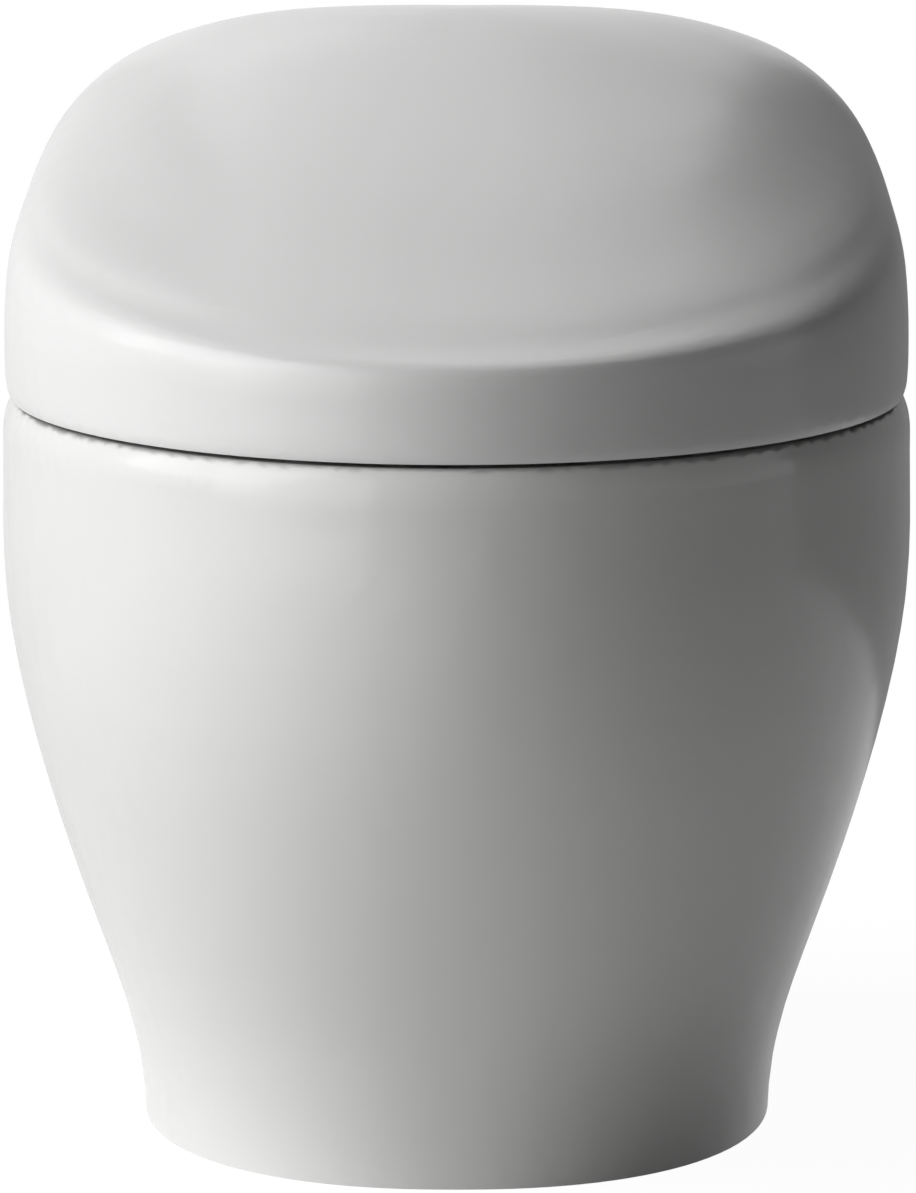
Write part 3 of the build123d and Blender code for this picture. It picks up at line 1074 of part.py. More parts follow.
with BuildPart() as control_board:
    slab(BOARD_SPAN, (BOARD_DEPTH, BOARD_DEPTH + BOARD_THICKNESS), (BASE_TOP, BASE_TOP + BOARD_HEIGHT))
    for left_share, right_share, low_share, high_share, thick in BOARD_PARTS:
        width = BOARD_SPAN[1] - BOARD_SPAN[0]
        slab((BOARD_SPAN[0] + width * left_share, BOARD_SPAN[0] + width * right_share),
             (BOARD_DEPTH - thick, BOARD_DEPTH),
             (BASE_TOP + BOARD_HEIGHT * low_share, BASE_TOP + BOARD_HEIGHT * high_share))
finish(control_board, "control_board")

for button in range(BUTTONS):
    place = BUTTON_START + BUTTON_STEP * button
    with BuildPart() as push_button:
        with BuildSketch(slope_plane(place, BUTTON_X, BUTTON_HEIGHT - BUTTON_PROUD)):
            Circle(BUTTON_RADIUS)
        extrude(amount=BUTTON_HEIGHT)
        fillet(push_button.faces().sort_by(Axis.Z)[-1].edges(), BUTTON_PROUD / 2)
    finish(push_button, f"button_{button + 1}")

with BuildPart() as button_board:
    run = BUTTON_STEP * (BUTTONS - 1)
    sink = BUTTON_HEIGHT - BUTTON_PROUD + BUTTON_BOARD_GAP + BOARD_THICKNESS
    with BuildSketch(slope_plane(BUTTON_START + run / 2, BUTTON_X, sink)):
        Rectangle(BUTTON_RADIUS * 2 + BUTTON_BOARD_MARGIN, run + BUTTON_RADIUS * 2 + BUTTON_BOARD_MARGIN)
    extrude(amount=BOARD_THICKNESS)
    for end in (-1, 1):
        for side in (-1, 1):
            with BuildSketch(slope_plane(BUTTON_START + run / 2 + end * (run / 2 + BUTTON_RADIUS),
                                         BUTTON_X + side * BUTTON_RADIUS, sink)):
                Circle(BOARD_THICKNESS)
            extrude(amount=sink - UNIT_WALL)
finish(button_board, "button_board")

with BuildPart() as sensor_window:
    with BuildSketch(slope_plane(WINDOW_PLACE, 0, WINDOW_THICKNESS)):
        Circle(WINDOW_RADIUS)
    extrude(amount=WINDOW_THICKNESS)
finish(sensor_window, "sensor_window")

with BuildPart() as mains_gland:
    with BuildSketch(Plane((GLAND_X, back(GLAND_DEPTH), RIM_HEIGHT + GLAND_RISE), x_dir=(1, 0, 0),
                           z_dir=(0, 1, 0))):
        Circle(GLAND_HOLE)
        Circle(GLAND_BORE, mode=Mode.SUBTRACT)
    extrude(amount=GLAND_LENGTH)
finish(mains_gland, "mains_gland")

# Flush gear in the back of the skirt
TANK_SPAN = (-116.0, 56.0)
TANK_DEPTHS = (616.0, 752.0)
TANK_FOOT = 120.0
TANK_CORNER = 18.0
TANK_WALL = 3.0
PUMP_X = -30.0
PUMP_DEPTH = 684.0
PUMP_MOTOR_RADIUS = 27.0
PUMP_MOTOR_FOOT = 12.0
VOLUTE_RADIUS = 40.0
VOLUTE_WALL = 3.5
VOLUTE_FOOT = 50.0
VOLUTE_HEIGHT = 30.0
PUMP_SHAFT = 3.0
FLUSH_FAN_RADIUS = 28.0
FLUSH_FAN_HEIGHT = 12.0
FLUSH_FAN_HUB = 8.0
FLUSH_FAN_DISC = 3.0
FLUSH_VANES = 6
VANE_THICKNESS = 3.0
PUMP_NECK = 14.0
PIPE_RADIUS = 9.0
PIPE_BORE = 6.5
PIPE_BEND = 22.0
INLET_X = 88.0
INLET_SPAN = (706.0, 758.0)
INLET_HALF_WIDTH = 17.0
INLET_HEIGHT = 288.0
INLET_FOOT = 270.0
INLET_RADIUS = 10.3         # outside of the half-inch supply thread
INLET_BORE = 6.0
INLET_NUT = 14.0
SEAL_RADIUS = 58.0
SEAL_NECK = 46.0
SEAL_FOOT = 0.6
SEAL_FLANGE = 8.0
SEAL_HEIGHT = 34.0
BRACKET_FOOT_X = 108.0
FIXING_X = 125.0            # floor screws to either side of the middle
FIXING_RADIUS = 4.0
FLOOR_PLATE = 3.0
FLOOR_BRACKET_HALF = 20.0
FLOOR_BRACKET_HEIGHT = 62.0
SIDE_WALL_X = 142.4         # outer face of a floor bracket, just inside the skirt
SIDE_SCREW_RADIUS = 3.0
SIDE_SCREW_HEAD = 5.2
SIDE_SCREW_LENGTH = 16.0
CAP_FOOT_X = 154.0
CAP_TOP_X = 160.6

with BuildPart() as flush_tank:
    slab(TANK_SPAN, TANK_DEPTHS, (TANK_FOOT, DECK_FOOT - REST_GAP))
    fillet(flush_tank.edges(), TANK_CORNER)
    offset(amount=-TANK_WALL, kind=Kind.INTERSECTION, mode=Mode.SUBTRACT)
    upright(PUMP_X, PUMP_DEPTH, TANK_FOOT - OVERRUN, TANK_FOOT + TANK_WALL * 2, PUMP_NECK - VOLUTE_WALL,
            mode=Mode.SUBTRACT)
finish(flush_tank, "flush_tank")

VOLUTE_TOP = VOLUTE_FOOT + VOLUTE_HEIGHT
JET_X = PUMP_X + VOLUTE_RADIUS - PIPE_RADIUS
JET_START = PUMP_DEPTH - VOLUTE_RADIUS * cos(atan2(JET_X - PUMP_X, VOLUTE_RADIUS)) - PIPE_RADIUS
PUMP_LEVEL = (VOLUTE_FOOT + VOLUTE_TOP) / 2
JET_ROUTE = (
    (JET_X, JET_START, PUMP_LEVEL), (JET_X, JET_START - PIPE_BEND * 2, PUMP_LEVEL),
    (JET_SIDE, OUTLET_DEPTH + TRAP_RADIUS, PUMP_LEVEL), (JET_SIDE, JET_DEPTH, JET_HEIGHT),
    (JET_END, JET_DEPTH, JET_HEIGHT))
RIM_PIPE_LEVEL = RIM_HEIGHT - RIM_JET_DROP
RIM_ROUTE = (
    (TANK_SPAN[0], RIM_PIPE_START, RIM_PIPE_LEVEL), (-RIM_PIPE_SIDE, RIM_PIPE_START, RIM_PIPE_LEVEL),
    (-RIM_PIPE_SIDE, RIM_JET_DEPTH, RIM_PIPE_LEVEL), (-RIM_PIPE_END, RIM_JET_DEPTH, RIM_PIPE_LEVEL))

with BuildPart() as pump_housing:
    upright(PUMP_X, PUMP_DEPTH, PUMP_MOTOR_FOOT, VOLUTE_FOOT, PUMP_MOTOR_RADIUS)
    upright(PUMP_X, PUMP_DEPTH, VOLUTE_FOOT, VOLUTE_TOP, VOLUTE_RADIUS)
    upright(PUMP_X, PUMP_DEPTH, VOLUTE_TOP, TANK_FOOT, PUMP_NECK)
    with BuildSketch(Plane((JET_X, back(JET_START), PUMP_LEVEL), x_dir=(1, 0, 0), z_dir=(0, 1, 0))):
        Circle(PIPE_RADIUS)
    extrude(amount=PUMP_DEPTH - JET_START)
    upright(PUMP_X, PUMP_DEPTH, VOLUTE_FOOT + VOLUTE_WALL, VOLUTE_TOP - VOLUTE_WALL,
            VOLUTE_RADIUS - VOLUTE_WALL, mode=Mode.SUBTRACT)
    upright(PUMP_X, PUMP_DEPTH, VOLUTE_TOP - VOLUTE_WALL * 2, TANK_FOOT, PUMP_NECK - VOLUTE_WALL,
            mode=Mode.SUBTRACT)
    upright(PUMP_X, PUMP_DEPTH, VOLUTE_FOOT - VOLUTE_WALL * 4, VOLUTE_TOP - VOLUTE_WALL,
            PUMP_SHAFT + RUNNING_GAP, mode=Mode.SUBTRACT)
    with BuildSketch(Plane((JET_X, back(JET_START), PUMP_LEVEL), x_dir=(1, 0, 0), z_dir=(0, 1, 0))):
        Circle(PIPE_BORE)
    extrude(amount=PUMP_DEPTH - JET_START, mode=Mode.SUBTRACT)
finish(pump_housing, "pump_housing")

with BuildPart() as pump_impeller:
    foot = PUMP_LEVEL - FLUSH_FAN_HEIGHT / 2
    upright(PUMP_X, PUMP_DEPTH, foot, foot + FLUSH_FAN_DISC, FLUSH_FAN_RADIUS)
    upright(PUMP_X, PUMP_DEPTH, foot, foot + FLUSH_FAN_HEIGHT, FLUSH_FAN_HUB)
    upright(PUMP_X, PUMP_DEPTH, VOLUTE_FOOT - VOLUTE_WALL * 3, foot + FLUSH_FAN_DISC, PUMP_SHAFT)
    with BuildSketch(Plane((PUMP_X, back(PUMP_DEPTH), foot))):
        with PolarLocations((FLUSH_FAN_RADIUS + FLUSH_FAN_HUB) / 2, FLUSH_VANES):
            Rectangle(FLUSH_FAN_RADIUS - FLUSH_FAN_HUB + VANE_THICKNESS / 2, VANE_THICKNESS,
                      rotation=BLADE_LEAN)
        Circle(FLUSH_FAN_RADIUS, mode=Mode.INTERSECT)
    extrude(amount=FLUSH_FAN_HEIGHT)
finish(pump_impeller, "pump_impeller")

for name, route in (("jet_pipe", JET_ROUTE), ("rim_pipe", RIM_ROUTE)):
    with BuildPart() as water_pipe:
        add(pipe(route, PIPE_BEND, PIPE_RADIUS))
        add(pipe(route, PIPE_BEND, PIPE_BORE), mode=Mode.SUBTRACT)
    finish(water_pipe, name)

with BuildPart() as inlet_valve:
    slab((INLET_X - INLET_HALF_WIDTH, INLET_X + INLET_HALF_WIDTH), INLET_SPAN, (INLET_FOOT, DECK_FOOT))
    fillet(inlet_valve.edges().filter_by(Axis.Z), INLET_BORE)
    with BuildSketch(Plane((INLET_X, back(INLET_SPAN[1]), INLET_HEIGHT), x_dir=(1, 0, 0),
                           z_dir=(0, 1, 0))) as thread_end:
        Circle(INLET_RADIUS)
    extrude(amount=LENGTH - INLET_SPAN[1] - OVERRUN)
    with BuildSketch(thread_end.workplanes[0]):
        RegularPolygon(INLET_NUT, 6)
    extrude(amount=OVERRUN * 2)
    with BuildSketch(thread_end.workplanes[0]):
        Circle(INLET_BORE)
    extrude(amount=LENGTH - INLET_SPAN[1], mode=Mode.SUBTRACT)
finish(inlet_valve, "inlet_valve")

with BuildPart() as waste_seal:
    upright(0, OUTLET_DEPTH, SEAL_FOOT, SEAL_HEIGHT, SEAL_NECK)
    upright(0, OUTLET_DEPTH, SEAL_FOOT, SEAL_FOOT + SEAL_FLANGE, SEAL_RADIUS)
    upright(0, OUTLET_DEPTH, OUTLET_HEIGHT - REST_GAP, SEAL_HEIGHT, TRAP_RADIUS + TRAP_WALL + REST_GAP,
            mode=Mode.SUBTRACT)
    upright(0, OUTLET_DEPTH, 0, SEAL_HEIGHT, TRAP_RADIUS + OVERRUN, mode=Mode.SUBTRACT)
finish(waste_seal, "waste_seal")

with BuildPart() as floor_brackets:
    for side in (-1, 1):
        foot_span = sorted((side * BRACKET_FOOT_X, side * SIDE_WALL_X))
        wall_span = sorted((side * (SIDE_WALL_X - FLOOR_PLATE), side * SIDE_WALL_X))
        depths = (SIDE_SCREW_DEPTH - FLOOR_BRACKET_HALF, SIDE_SCREW_DEPTH + FLOOR_BRACKET_HALF)
        slab(foot_span, depths, (0, FLOOR_PLATE))
        slab(wall_span, depths, (0, FLOOR_BRACKET_HEIGHT))
        upright(side * FIXING_X, SIDE_SCREW_DEPTH, -OVERRUN, FLOOR_PLATE + OVERRUN, FIXING_RADIUS,
                mode=Mode.SUBTRACT)
        cross_bar(SIDE_SCREW_DEPTH, SIDE_SCREW_HEIGHT, wall_span, SIDE_SCREW_RADIUS, mode=Mode.SUBTRACT)
finish(floor_brackets, "floor_brackets")

with BuildPart() as side_screws:
    for side in (-1, 1):
        cross_bar(SIDE_SCREW_DEPTH, SIDE_SCREW_HEIGHT,
                  sorted((side * (CAP_FOOT_X - SIDE_SCREW_LENGTH), side * CAP_FOOT_X)), SIDE_SCREW_RADIUS)
        cross_bar(SIDE_SCREW_DEPTH, SIDE_SCREW_HEIGHT,
                  sorted((side * (CAP_FOOT_X - FLOOR_PLATE), side * CAP_FOOT_X)), SIDE_SCREW_HEAD)
finish(side_screws, "side_screws")

with BuildPart() as screw_caps:
    for side in (-1, 1):
        cross_bar(SIDE_SCREW_DEPTH, SIDE_SCREW_HEIGHT,
                  sorted((side * CAP_FOOT_X, side * CAP_TOP_X)), SIDE_SCREW_HOLE - REST_GAP)
    fillet([face.edges() for face in screw_caps.faces().filter_by(Axis.X).sort_by(Axis.X)[::3]][0],
           FLOOR_PLATE / 3)
finish(screw_caps, "screw_caps")
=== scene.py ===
"""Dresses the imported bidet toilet: smooth glazed and moulded skins, finishes, floor, light and camera."""

import contextlib
import json
import logging
import math
from dataclasses import dataclass
from enum import Enum
from typing import Any, Callable, Iterator, Optional, Sequence, Union

import bpy
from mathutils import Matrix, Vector

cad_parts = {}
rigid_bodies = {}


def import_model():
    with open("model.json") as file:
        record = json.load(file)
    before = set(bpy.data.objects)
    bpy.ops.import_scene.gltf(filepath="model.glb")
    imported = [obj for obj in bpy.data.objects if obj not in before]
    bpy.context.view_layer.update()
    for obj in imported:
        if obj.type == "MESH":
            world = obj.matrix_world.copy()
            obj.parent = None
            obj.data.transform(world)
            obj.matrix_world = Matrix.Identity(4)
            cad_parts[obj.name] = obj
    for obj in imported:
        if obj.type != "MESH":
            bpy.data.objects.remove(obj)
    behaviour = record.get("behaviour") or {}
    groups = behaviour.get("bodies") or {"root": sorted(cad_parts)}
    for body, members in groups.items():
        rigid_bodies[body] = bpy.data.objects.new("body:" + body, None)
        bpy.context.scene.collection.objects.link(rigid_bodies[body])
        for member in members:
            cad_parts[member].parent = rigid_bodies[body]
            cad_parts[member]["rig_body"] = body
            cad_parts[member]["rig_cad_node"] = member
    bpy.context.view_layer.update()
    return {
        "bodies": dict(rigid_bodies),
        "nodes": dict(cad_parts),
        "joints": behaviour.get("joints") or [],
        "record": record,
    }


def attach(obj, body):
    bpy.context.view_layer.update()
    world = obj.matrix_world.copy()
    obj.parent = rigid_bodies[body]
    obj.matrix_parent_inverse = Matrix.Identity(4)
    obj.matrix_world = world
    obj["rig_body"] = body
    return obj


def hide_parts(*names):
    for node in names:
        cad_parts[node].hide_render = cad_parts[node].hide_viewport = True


LOG = logging.getLogger("bidet_toilet")
Colour = tuple[float, float, float]
Stops = tuple[tuple[float, float], ...]
Number = Union[float, "Wire"]

# Meshes: points nearer than this many metres are one, and shading runs on over edges flatter than this.
WELD_REACH = 0.000002
SMOOTH_DEGREES = 32.0

# Finishes: refraction index and roughness of the clear layer on every finish.
SURFACE_INDEX = 1.36
COAT_ROUGHNESS = 0.06

# Finishes: detail and roughness of their noises.
DRIFT_DETAIL = 3.0
WAVE_DETAIL = 1.0
FINE_NOISE = (3.0, 0.6)
LINE_NOISE = (4.0, 0.7)
HAZE_NOISE = (4.0, 0.65)

# Finishes: size and share of the two waves of a glaze, and size of the haze within the colour drift.
WAVES = ((1.0, 0.8), (4.0, 0.2))
HAZE_SIZE = 0.22

# Finishes: grey stops that turn a noise into patches.
DRIFT_STOPS: Stops = ((0.3, 0.0), (0.7, 1.0))
HAZE_STOPS: Stops = ((0.25, 0.0), (0.8, 1.0))
PORE_STOPS: Stops = ((0.35, 0.0), (0.6, 1.0))

# Numbers of the Mix node's colour sockets.
MIX_SHARE, MIX_LOW, MIX_HIGH, MIX_RESULT = 0, 6, 7, 2

RIGHT_ANGLE = 90.0


class Grain(Enum):
    """How the surface of a finish is broken up."""

    ORANGE_PEEL = "long, very shallow waves of a fired glaze"
    MOULD = "fine matt grain of a moulding tool"
    BRUSHED = "fine lines along one direction"
    PORES = "small pores of an elastomer"


class Sockets(Enum):
    """Names of the main shader's sockets that a finish feeds."""

    COLOUR = "Base Color"
    ROUGHNESS = "Roughness"
    NORMAL = "Normal"


@dataclass
class Wire:
    """A number or colour on its way through a material, with sums written as in Python.

    Args:
        bench: The node bench that makes the nodes of the sum.
        socket: The output socket that carries the value.
    """

    bench: "NodeBench"
    socket: bpy.types.NodeSocket

    def _sum(self, operation: str, first: Number, second: Number) -> "Wire":
        """Adds one Math node.

        Args:
            operation: The Math node's operation.
            first: First value or wire.
            second: Second value or wire.

        Returns:
            The wire that carries the result.
        """
        return self.bench.node("ShaderNodeMath", {"operation": operation}, {0: first, 1: second})

    def __add__(self, other: Number) -> "Wire":
        """Sum of two values."""
        return self._sum("ADD", self, other)

    def __radd__(self, other: Number) -> "Wire":
        """Sum with a plain number in front."""
        return self._sum("ADD", other, self)

    def __mul__(self, other: Number) -> "Wire":
        """Product of two values."""
        return self._sum("MULTIPLY", self, other)

    def __rmul__(self, other: Number) -> "Wire":
        """Product with a plain number in front."""
        return self._sum("MULTIPLY", other, self)


def grey(value: float) -> tuple[float, float, float, float]:
    """An opaque grey of one brightness."""
    return (value, value, value, 1.0)


class NodeBench:
    """Makes the nodes of one material."""

    def __init__(self, name: str) -> None:
        """Starts an empty material with its output.

        Args:
            name: The material's name.
        """
        self.material = bpy.data.materials.new(name)
        self.material.use_nodes = True
        self.tree = self.material.node_tree
        self.tree.nodes.clear()

    @classmethod
    def of_tree(cls, tree: bpy.types.NodeTree) -> "NodeBench":
        """A bench on the emptied nodes of something else, such as the surroundings."""
        bench = cls.__new__(cls)
        bench.tree = tree
        tree.nodes.clear()
        return bench

    def node(self, kind: str, settings: Optional[dict[str, Any]] = None,
             inputs: Optional[dict[Union[int, str], Any]] = None,
             output: Union[int, str] = 0) -> Optional[Wire]:
        """Adds one node, with its settings made before its sockets.

        Args:
            kind: The node's type.
            settings: Properties of the node.
            inputs: Values or wires by socket name or number.
            output: The socket that the returned wire starts from.

        Returns:
            A wire from the chosen output, or None from a node without outputs.
        """
        made = self.tree.nodes.new(kind)
        for key, value in (settings or {}).items():
            if key == "ramp":
                self._set_ramp(made.color_ramp, value)
            else:
                setattr(made, key, value)
        for key, value in (inputs or {}).items():
            if isinstance(value, Wire):
                self.tree.links.new(value.socket, made.inputs[key])
            else:
                made.inputs[key].default_value = value
        return Wire(self, made.outputs[output]) if made.outputs else None

    @staticmethod
    def _set_ramp(ramp: bpy.types.ColorRamp, stops: Stops) -> None:
        """Places the grey stops of a colour ramp.

        Args:
            ramp: The ramp of the node.
            stops: Place and brightness of each stop.
        """
        while len(ramp.elements) < len(stops):
            ramp.elements.new(1.0)
        for element, (place, brightness) in zip(ramp.elements, stops):
            element.position = place
            element.color = grey(brightness)

    def place(self, scale: Sequence[float] = (1.0, 1.0, 1.0)) -> Wire:
        """Object coordinates in metres, stretched by a scale for each direction."""
        spot = self.node("ShaderNodeTexCoord", output="Object")
        return self.node("ShaderNodeMapping", {}, {"Vector": spot, "Scale": tuple(scale)})

    def noise(self, size: float, detail: float = 2.0, roughness: float = 0.5,
              stretch: Sequence[float] = (1.0, 1.0, 1.0)) -> Wire:
        """Noise between 0 and 1 with features of one size in metres.

        Args:
            size: Size of its features.
            detail: Layers of finer noise.
            roughness: How strong the finer layers are.
            stretch: Scale for each direction.

        Returns:
            The wire of the noise's value.
        """
        return self.node("ShaderNodeTexNoise", {}, {
            "Vector": self.place(stretch), "Scale": 1.0 / size, "Detail": detail,
            "Roughness": roughness}, "Fac")

    def ramp(self, value: Wire, stops: Stops) -> Wire:
        """Maps a value through grey stops."""
        return self.node("ShaderNodeValToRGB", {"ramp": stops}, {"Fac": value})

    def blend(self, mask: Wire, low: Colour, high: Colour) -> Wire:
        """Mixes two colours by a mask.

        Args:
            mask: 0 for the first colour, 1 for the second.
            low: First colour.
            high: Second colour.

        Returns:
            The wire of the mixed colour.
        """
        return self.node("ShaderNodeMix", {"data_type": "RGBA"}, {
            MIX_SHARE: mask, MIX_LOW: (*low, 1.0), MIX_HIGH: (*high, 1.0)}, MIX_RESULT)

    def bump(self, height: Wire, depth: float) -> Wire:
        """Turns a height between 0 and 1 into a bumped normal of a real depth in metres."""
        return self.node("ShaderNodeBump", {}, {"Height": height, "Distance": depth, "Strength": 1.0},
                         "Normal")

    def finish(self, plain: dict[str, Any], varying: dict[Sockets, Wire]) -> bpy.types.Material:
        """Adds the main shader and the output.

        Args:
            plain: Values that are the same all over.
            varying: Wires for the sockets that change over the surface.

        Returns:
            The finished material.
        """
        shader = self.node("ShaderNodeBsdfPrincipled", {}, {
            **plain, **{socket.value: wire for socket, wire in varying.items()}})
        self.node("ShaderNodeOutputMaterial", {}, {"Surface": shader})
        return self.material


@dataclass(frozen=True)
class Finish:
    """One of the object's surface finishes.

    Args:
        name: The material's name.
        colour: Its main colour, as linear light.
        shade: A second, slightly different colour that drifts over it.
        rough_low: Roughness of its smoothest places.
        rough_high: Roughness of its dullest places.
        grain: How the surface is broken up.
        depth: Real depth of that grain in metres.
        size: Real size of that grain in metres.
        drift: Size of the colour drift in metres.
        coat: Clear gloss layer on top.
        metallic: 1 for a bare metal.
        stretch: Scale of brushed grain for each direction, less than 1 where its lines run.
    """

    name: str
    colour: Colour
    shade: Colour
    rough_low: float
    rough_high: float
    grain: Grain = Grain.MOULD
    depth: float = 0.00001
    size: float = 0.0008
    drift: float = 0.12
    coat: float = 0.0
    metallic: float = 0.0
    stretch: tuple[float, float, float] = (1.0, 1.0, 1.0)

    def height(self, bench: NodeBench) -> Wire:
        """Height pattern of the grain, between 0 and 1."""
        if self.grain is Grain.ORANGE_PEEL:
            short, long = (bench.noise(self.size * scale, WAVE_DETAIL) * share for scale, share in WAVES)
            return short + long
        if self.grain is Grain.BRUSHED:
            return bench.noise(self.size, *LINE_NOISE, self.stretch)
        if self.grain is Grain.PORES:
            return bench.ramp(bench.noise(self.size, *FINE_NOISE), PORE_STOPS)
        return bench.noise(self.size, *FINE_NOISE)

    def material(self) -> bpy.types.Material:
        """Builds the material of this finish.

        Returns:
            The finished material.
        """
        bench = NodeBench(self.name)
        drift = bench.ramp(bench.noise(self.drift, DRIFT_DETAIL), DRIFT_STOPS)
        height = self.height(bench)
        haze = bench.noise(self.drift * HAZE_SIZE, *HAZE_NOISE)
        colour = bench.blend(drift, self.shade, self.colour)
        rough = self.rough_low + (self.rough_high - self.rough_low) * bench.ramp(haze, HAZE_STOPS)
        varying = {Sockets.COLOUR: colour, Sockets.ROUGHNESS: rough,
                   Sockets.NORMAL: bench.bump(height, self.depth)}
        plain = {"Metallic": self.metallic, "IOR": SURFACE_INDEX, "Coat Weight": self.coat,
                 "Coat Roughness": COAT_ROUGHNESS}
        return bench.finish(plain, varying)


WHITE_GLAZE = Finish("white_glaze", (0.80, 0.80, 0.79), (0.785, 0.785, 0.775), 0.13, 0.20,
                     Grain.ORANGE_PEEL, 0.00003, 0.006, 0.20)
SHELL_RESIN = Finish("shell_resin", (0.80, 0.80, 0.795), (0.792, 0.792, 0.787), 0.22, 0.26,
                     Grain.MOULD, 0.0000015, 0.0011, 0.16)
SEAT_RESIN = Finish("seat_resin", (0.79, 0.79, 0.78), (0.775, 0.775, 0.765), 0.2, 0.3,
                    Grain.MOULD, 0.000006, 0.001, 0.12)
UNIT_RESIN = Finish("unit_resin", (0.76, 0.76, 0.755), (0.74, 0.74, 0.735), 0.32, 0.44,
                    Grain.MOULD, 0.00001, 0.0007, 0.09)
WAND_RESIN = Finish("wand_resin", (0.78, 0.79, 0.80), (0.76, 0.77, 0.78), 0.15, 0.25,
                    Grain.MOULD, 0.000004, 0.0008, 0.03)
INNER_RESIN = Finish("inner_resin", (0.52, 0.53, 0.54), (0.49, 0.50, 0.51), 0.5, 0.62,
                     Grain.MOULD, 0.00002, 0.0006, 0.06)
DARK_RESIN = Finish("dark_resin", (0.012, 0.012, 0.014), (0.02, 0.02, 0.022), 0.42, 0.6,
                    Grain.MOULD, 0.00002, 0.0006, 0.05)
NATURAL_PIPE = Finish("natural_pipe", (0.60, 0.60, 0.56), (0.55, 0.55, 0.51), 0.38, 0.52,
                      Grain.MOULD, 0.00002, 0.002, 0.05)
PALE_RUBBER = Finish("pale_rubber", (0.48, 0.48, 0.45), (0.43, 0.43, 0.40), 0.62, 0.78,
                     Grain.PORES, 0.00002, 0.0007, 0.012)
BLACK_RUBBER = Finish("black_rubber", (0.014, 0.014, 0.014), (0.022, 0.022, 0.021), 0.6, 0.8,
                      Grain.PORES, 0.00003, 0.0009, 0.03)
BRUSHED_STEEL = Finish("brushed_steel", (0.56, 0.55, 0.53), (0.48, 0.47, 0.46), 0.24, 0.4,
                       Grain.BRUSHED, 0.000008, 0.0005, 0.02, metallic=1.0, stretch=(0.04, 1.0, 1.0))
ZINC_PLATE = Finish("zinc_plate", (0.52, 0.52, 0.50), (0.40, 0.41, 0.42), 0.34, 0.5,
                    Grain.MOULD, 0.00001, 0.003, 0.012, metallic=1.0)
BOARD_LAMINATE = Finish("board_laminate", (0.01, 0.07, 0.025), (0.014, 0.10, 0.035), 0.3, 0.5,
                        Grain.BRUSHED, 0.00003, 0.0016, 0.008, stretch=(1.0, 1.0, 0.1))
HEATER_FOIL = Finish("heater_foil", (0.60, 0.60, 0.61), (0.52, 0.52, 0.54), 0.22, 0.36,
                     Grain.BRUSHED, 0.00002, 0.002, 0.02, metallic=1.0, stretch=(1.0, 0.1, 1.0))
DARK_WINDOW = Finish("dark_window", (0.006, 0.006, 0.007), (0.01, 0.01, 0.012), 0.06, 0.1,
                     Grain.ORANGE_PEEL, 0.000004, 0.004, 0.02, coat=0.5)
FILTER_CASE = Finish("filter_case", (0.075, 0.08, 0.09), (0.06, 0.065, 0.07), 0.5, 0.65,
                     Grain.MOULD, 0.00002, 0.0008, 0.02)


class Bench:
    """Operator work on meshes, as done by hand at the bench."""

    @staticmethod
    def select_only(*pieces: bpy.types.Object) -> None:
        """Selects only these pieces and makes the first one active."""
        if bpy.context.object and bpy.context.object.mode != "OBJECT":
            bpy.ops.object.mode_set(mode="OBJECT")
        bpy.ops.object.select_all(action="DESELECT")
        for piece in pieces:
            piece.select_set(True)
        bpy.context.view_layer.objects.active = pieces[0]

    @classmethod
    @contextlib.contextmanager
    def editing(cls, piece: bpy.types.Object) -> Iterator[None]:
        """Opens a piece in edit mode with everything selected.

        Args:
            piece: The mesh to edit.
        """
        cls.select_only(piece)
        bpy.ops.object.mode_set(mode="EDIT")
        bpy.ops.mesh.select_all(action="SELECT")
        yield
        bpy.ops.object.mode_set(mode="OBJECT")

    @classmethod
    def apply_all(cls, piece: bpy.types.Object) -> None:
        """Applies every modifier of a piece in order."""
        cls.select_only(piece)
        for modifier in list(piece.modifiers):
            bpy.ops.object.modifier_apply(modifier=modifier.name)

    @classmethod
    def smooth(cls, piece: bpy.types.Object, degrees: float) -> None:
        """Smooths the shading of all faces that meet at less than an angle, the large ones leading."""
        cls.select_only(piece)
        bpy.ops.object.shade_smooth_by_angle(angle=math.radians(degrees))
        modifier = piece.modifiers.new("weighted_normals", "WEIGHTED_NORMAL")
        modifier.keep_sharp = True
        cls.apply_all(piece)

    @staticmethod
    def dress(piece: bpy.types.Object, material: bpy.types.Material) -> None:
        """Gives a piece one material."""
        piece.data.materials.clear()
        piece.data.materials.append(material)


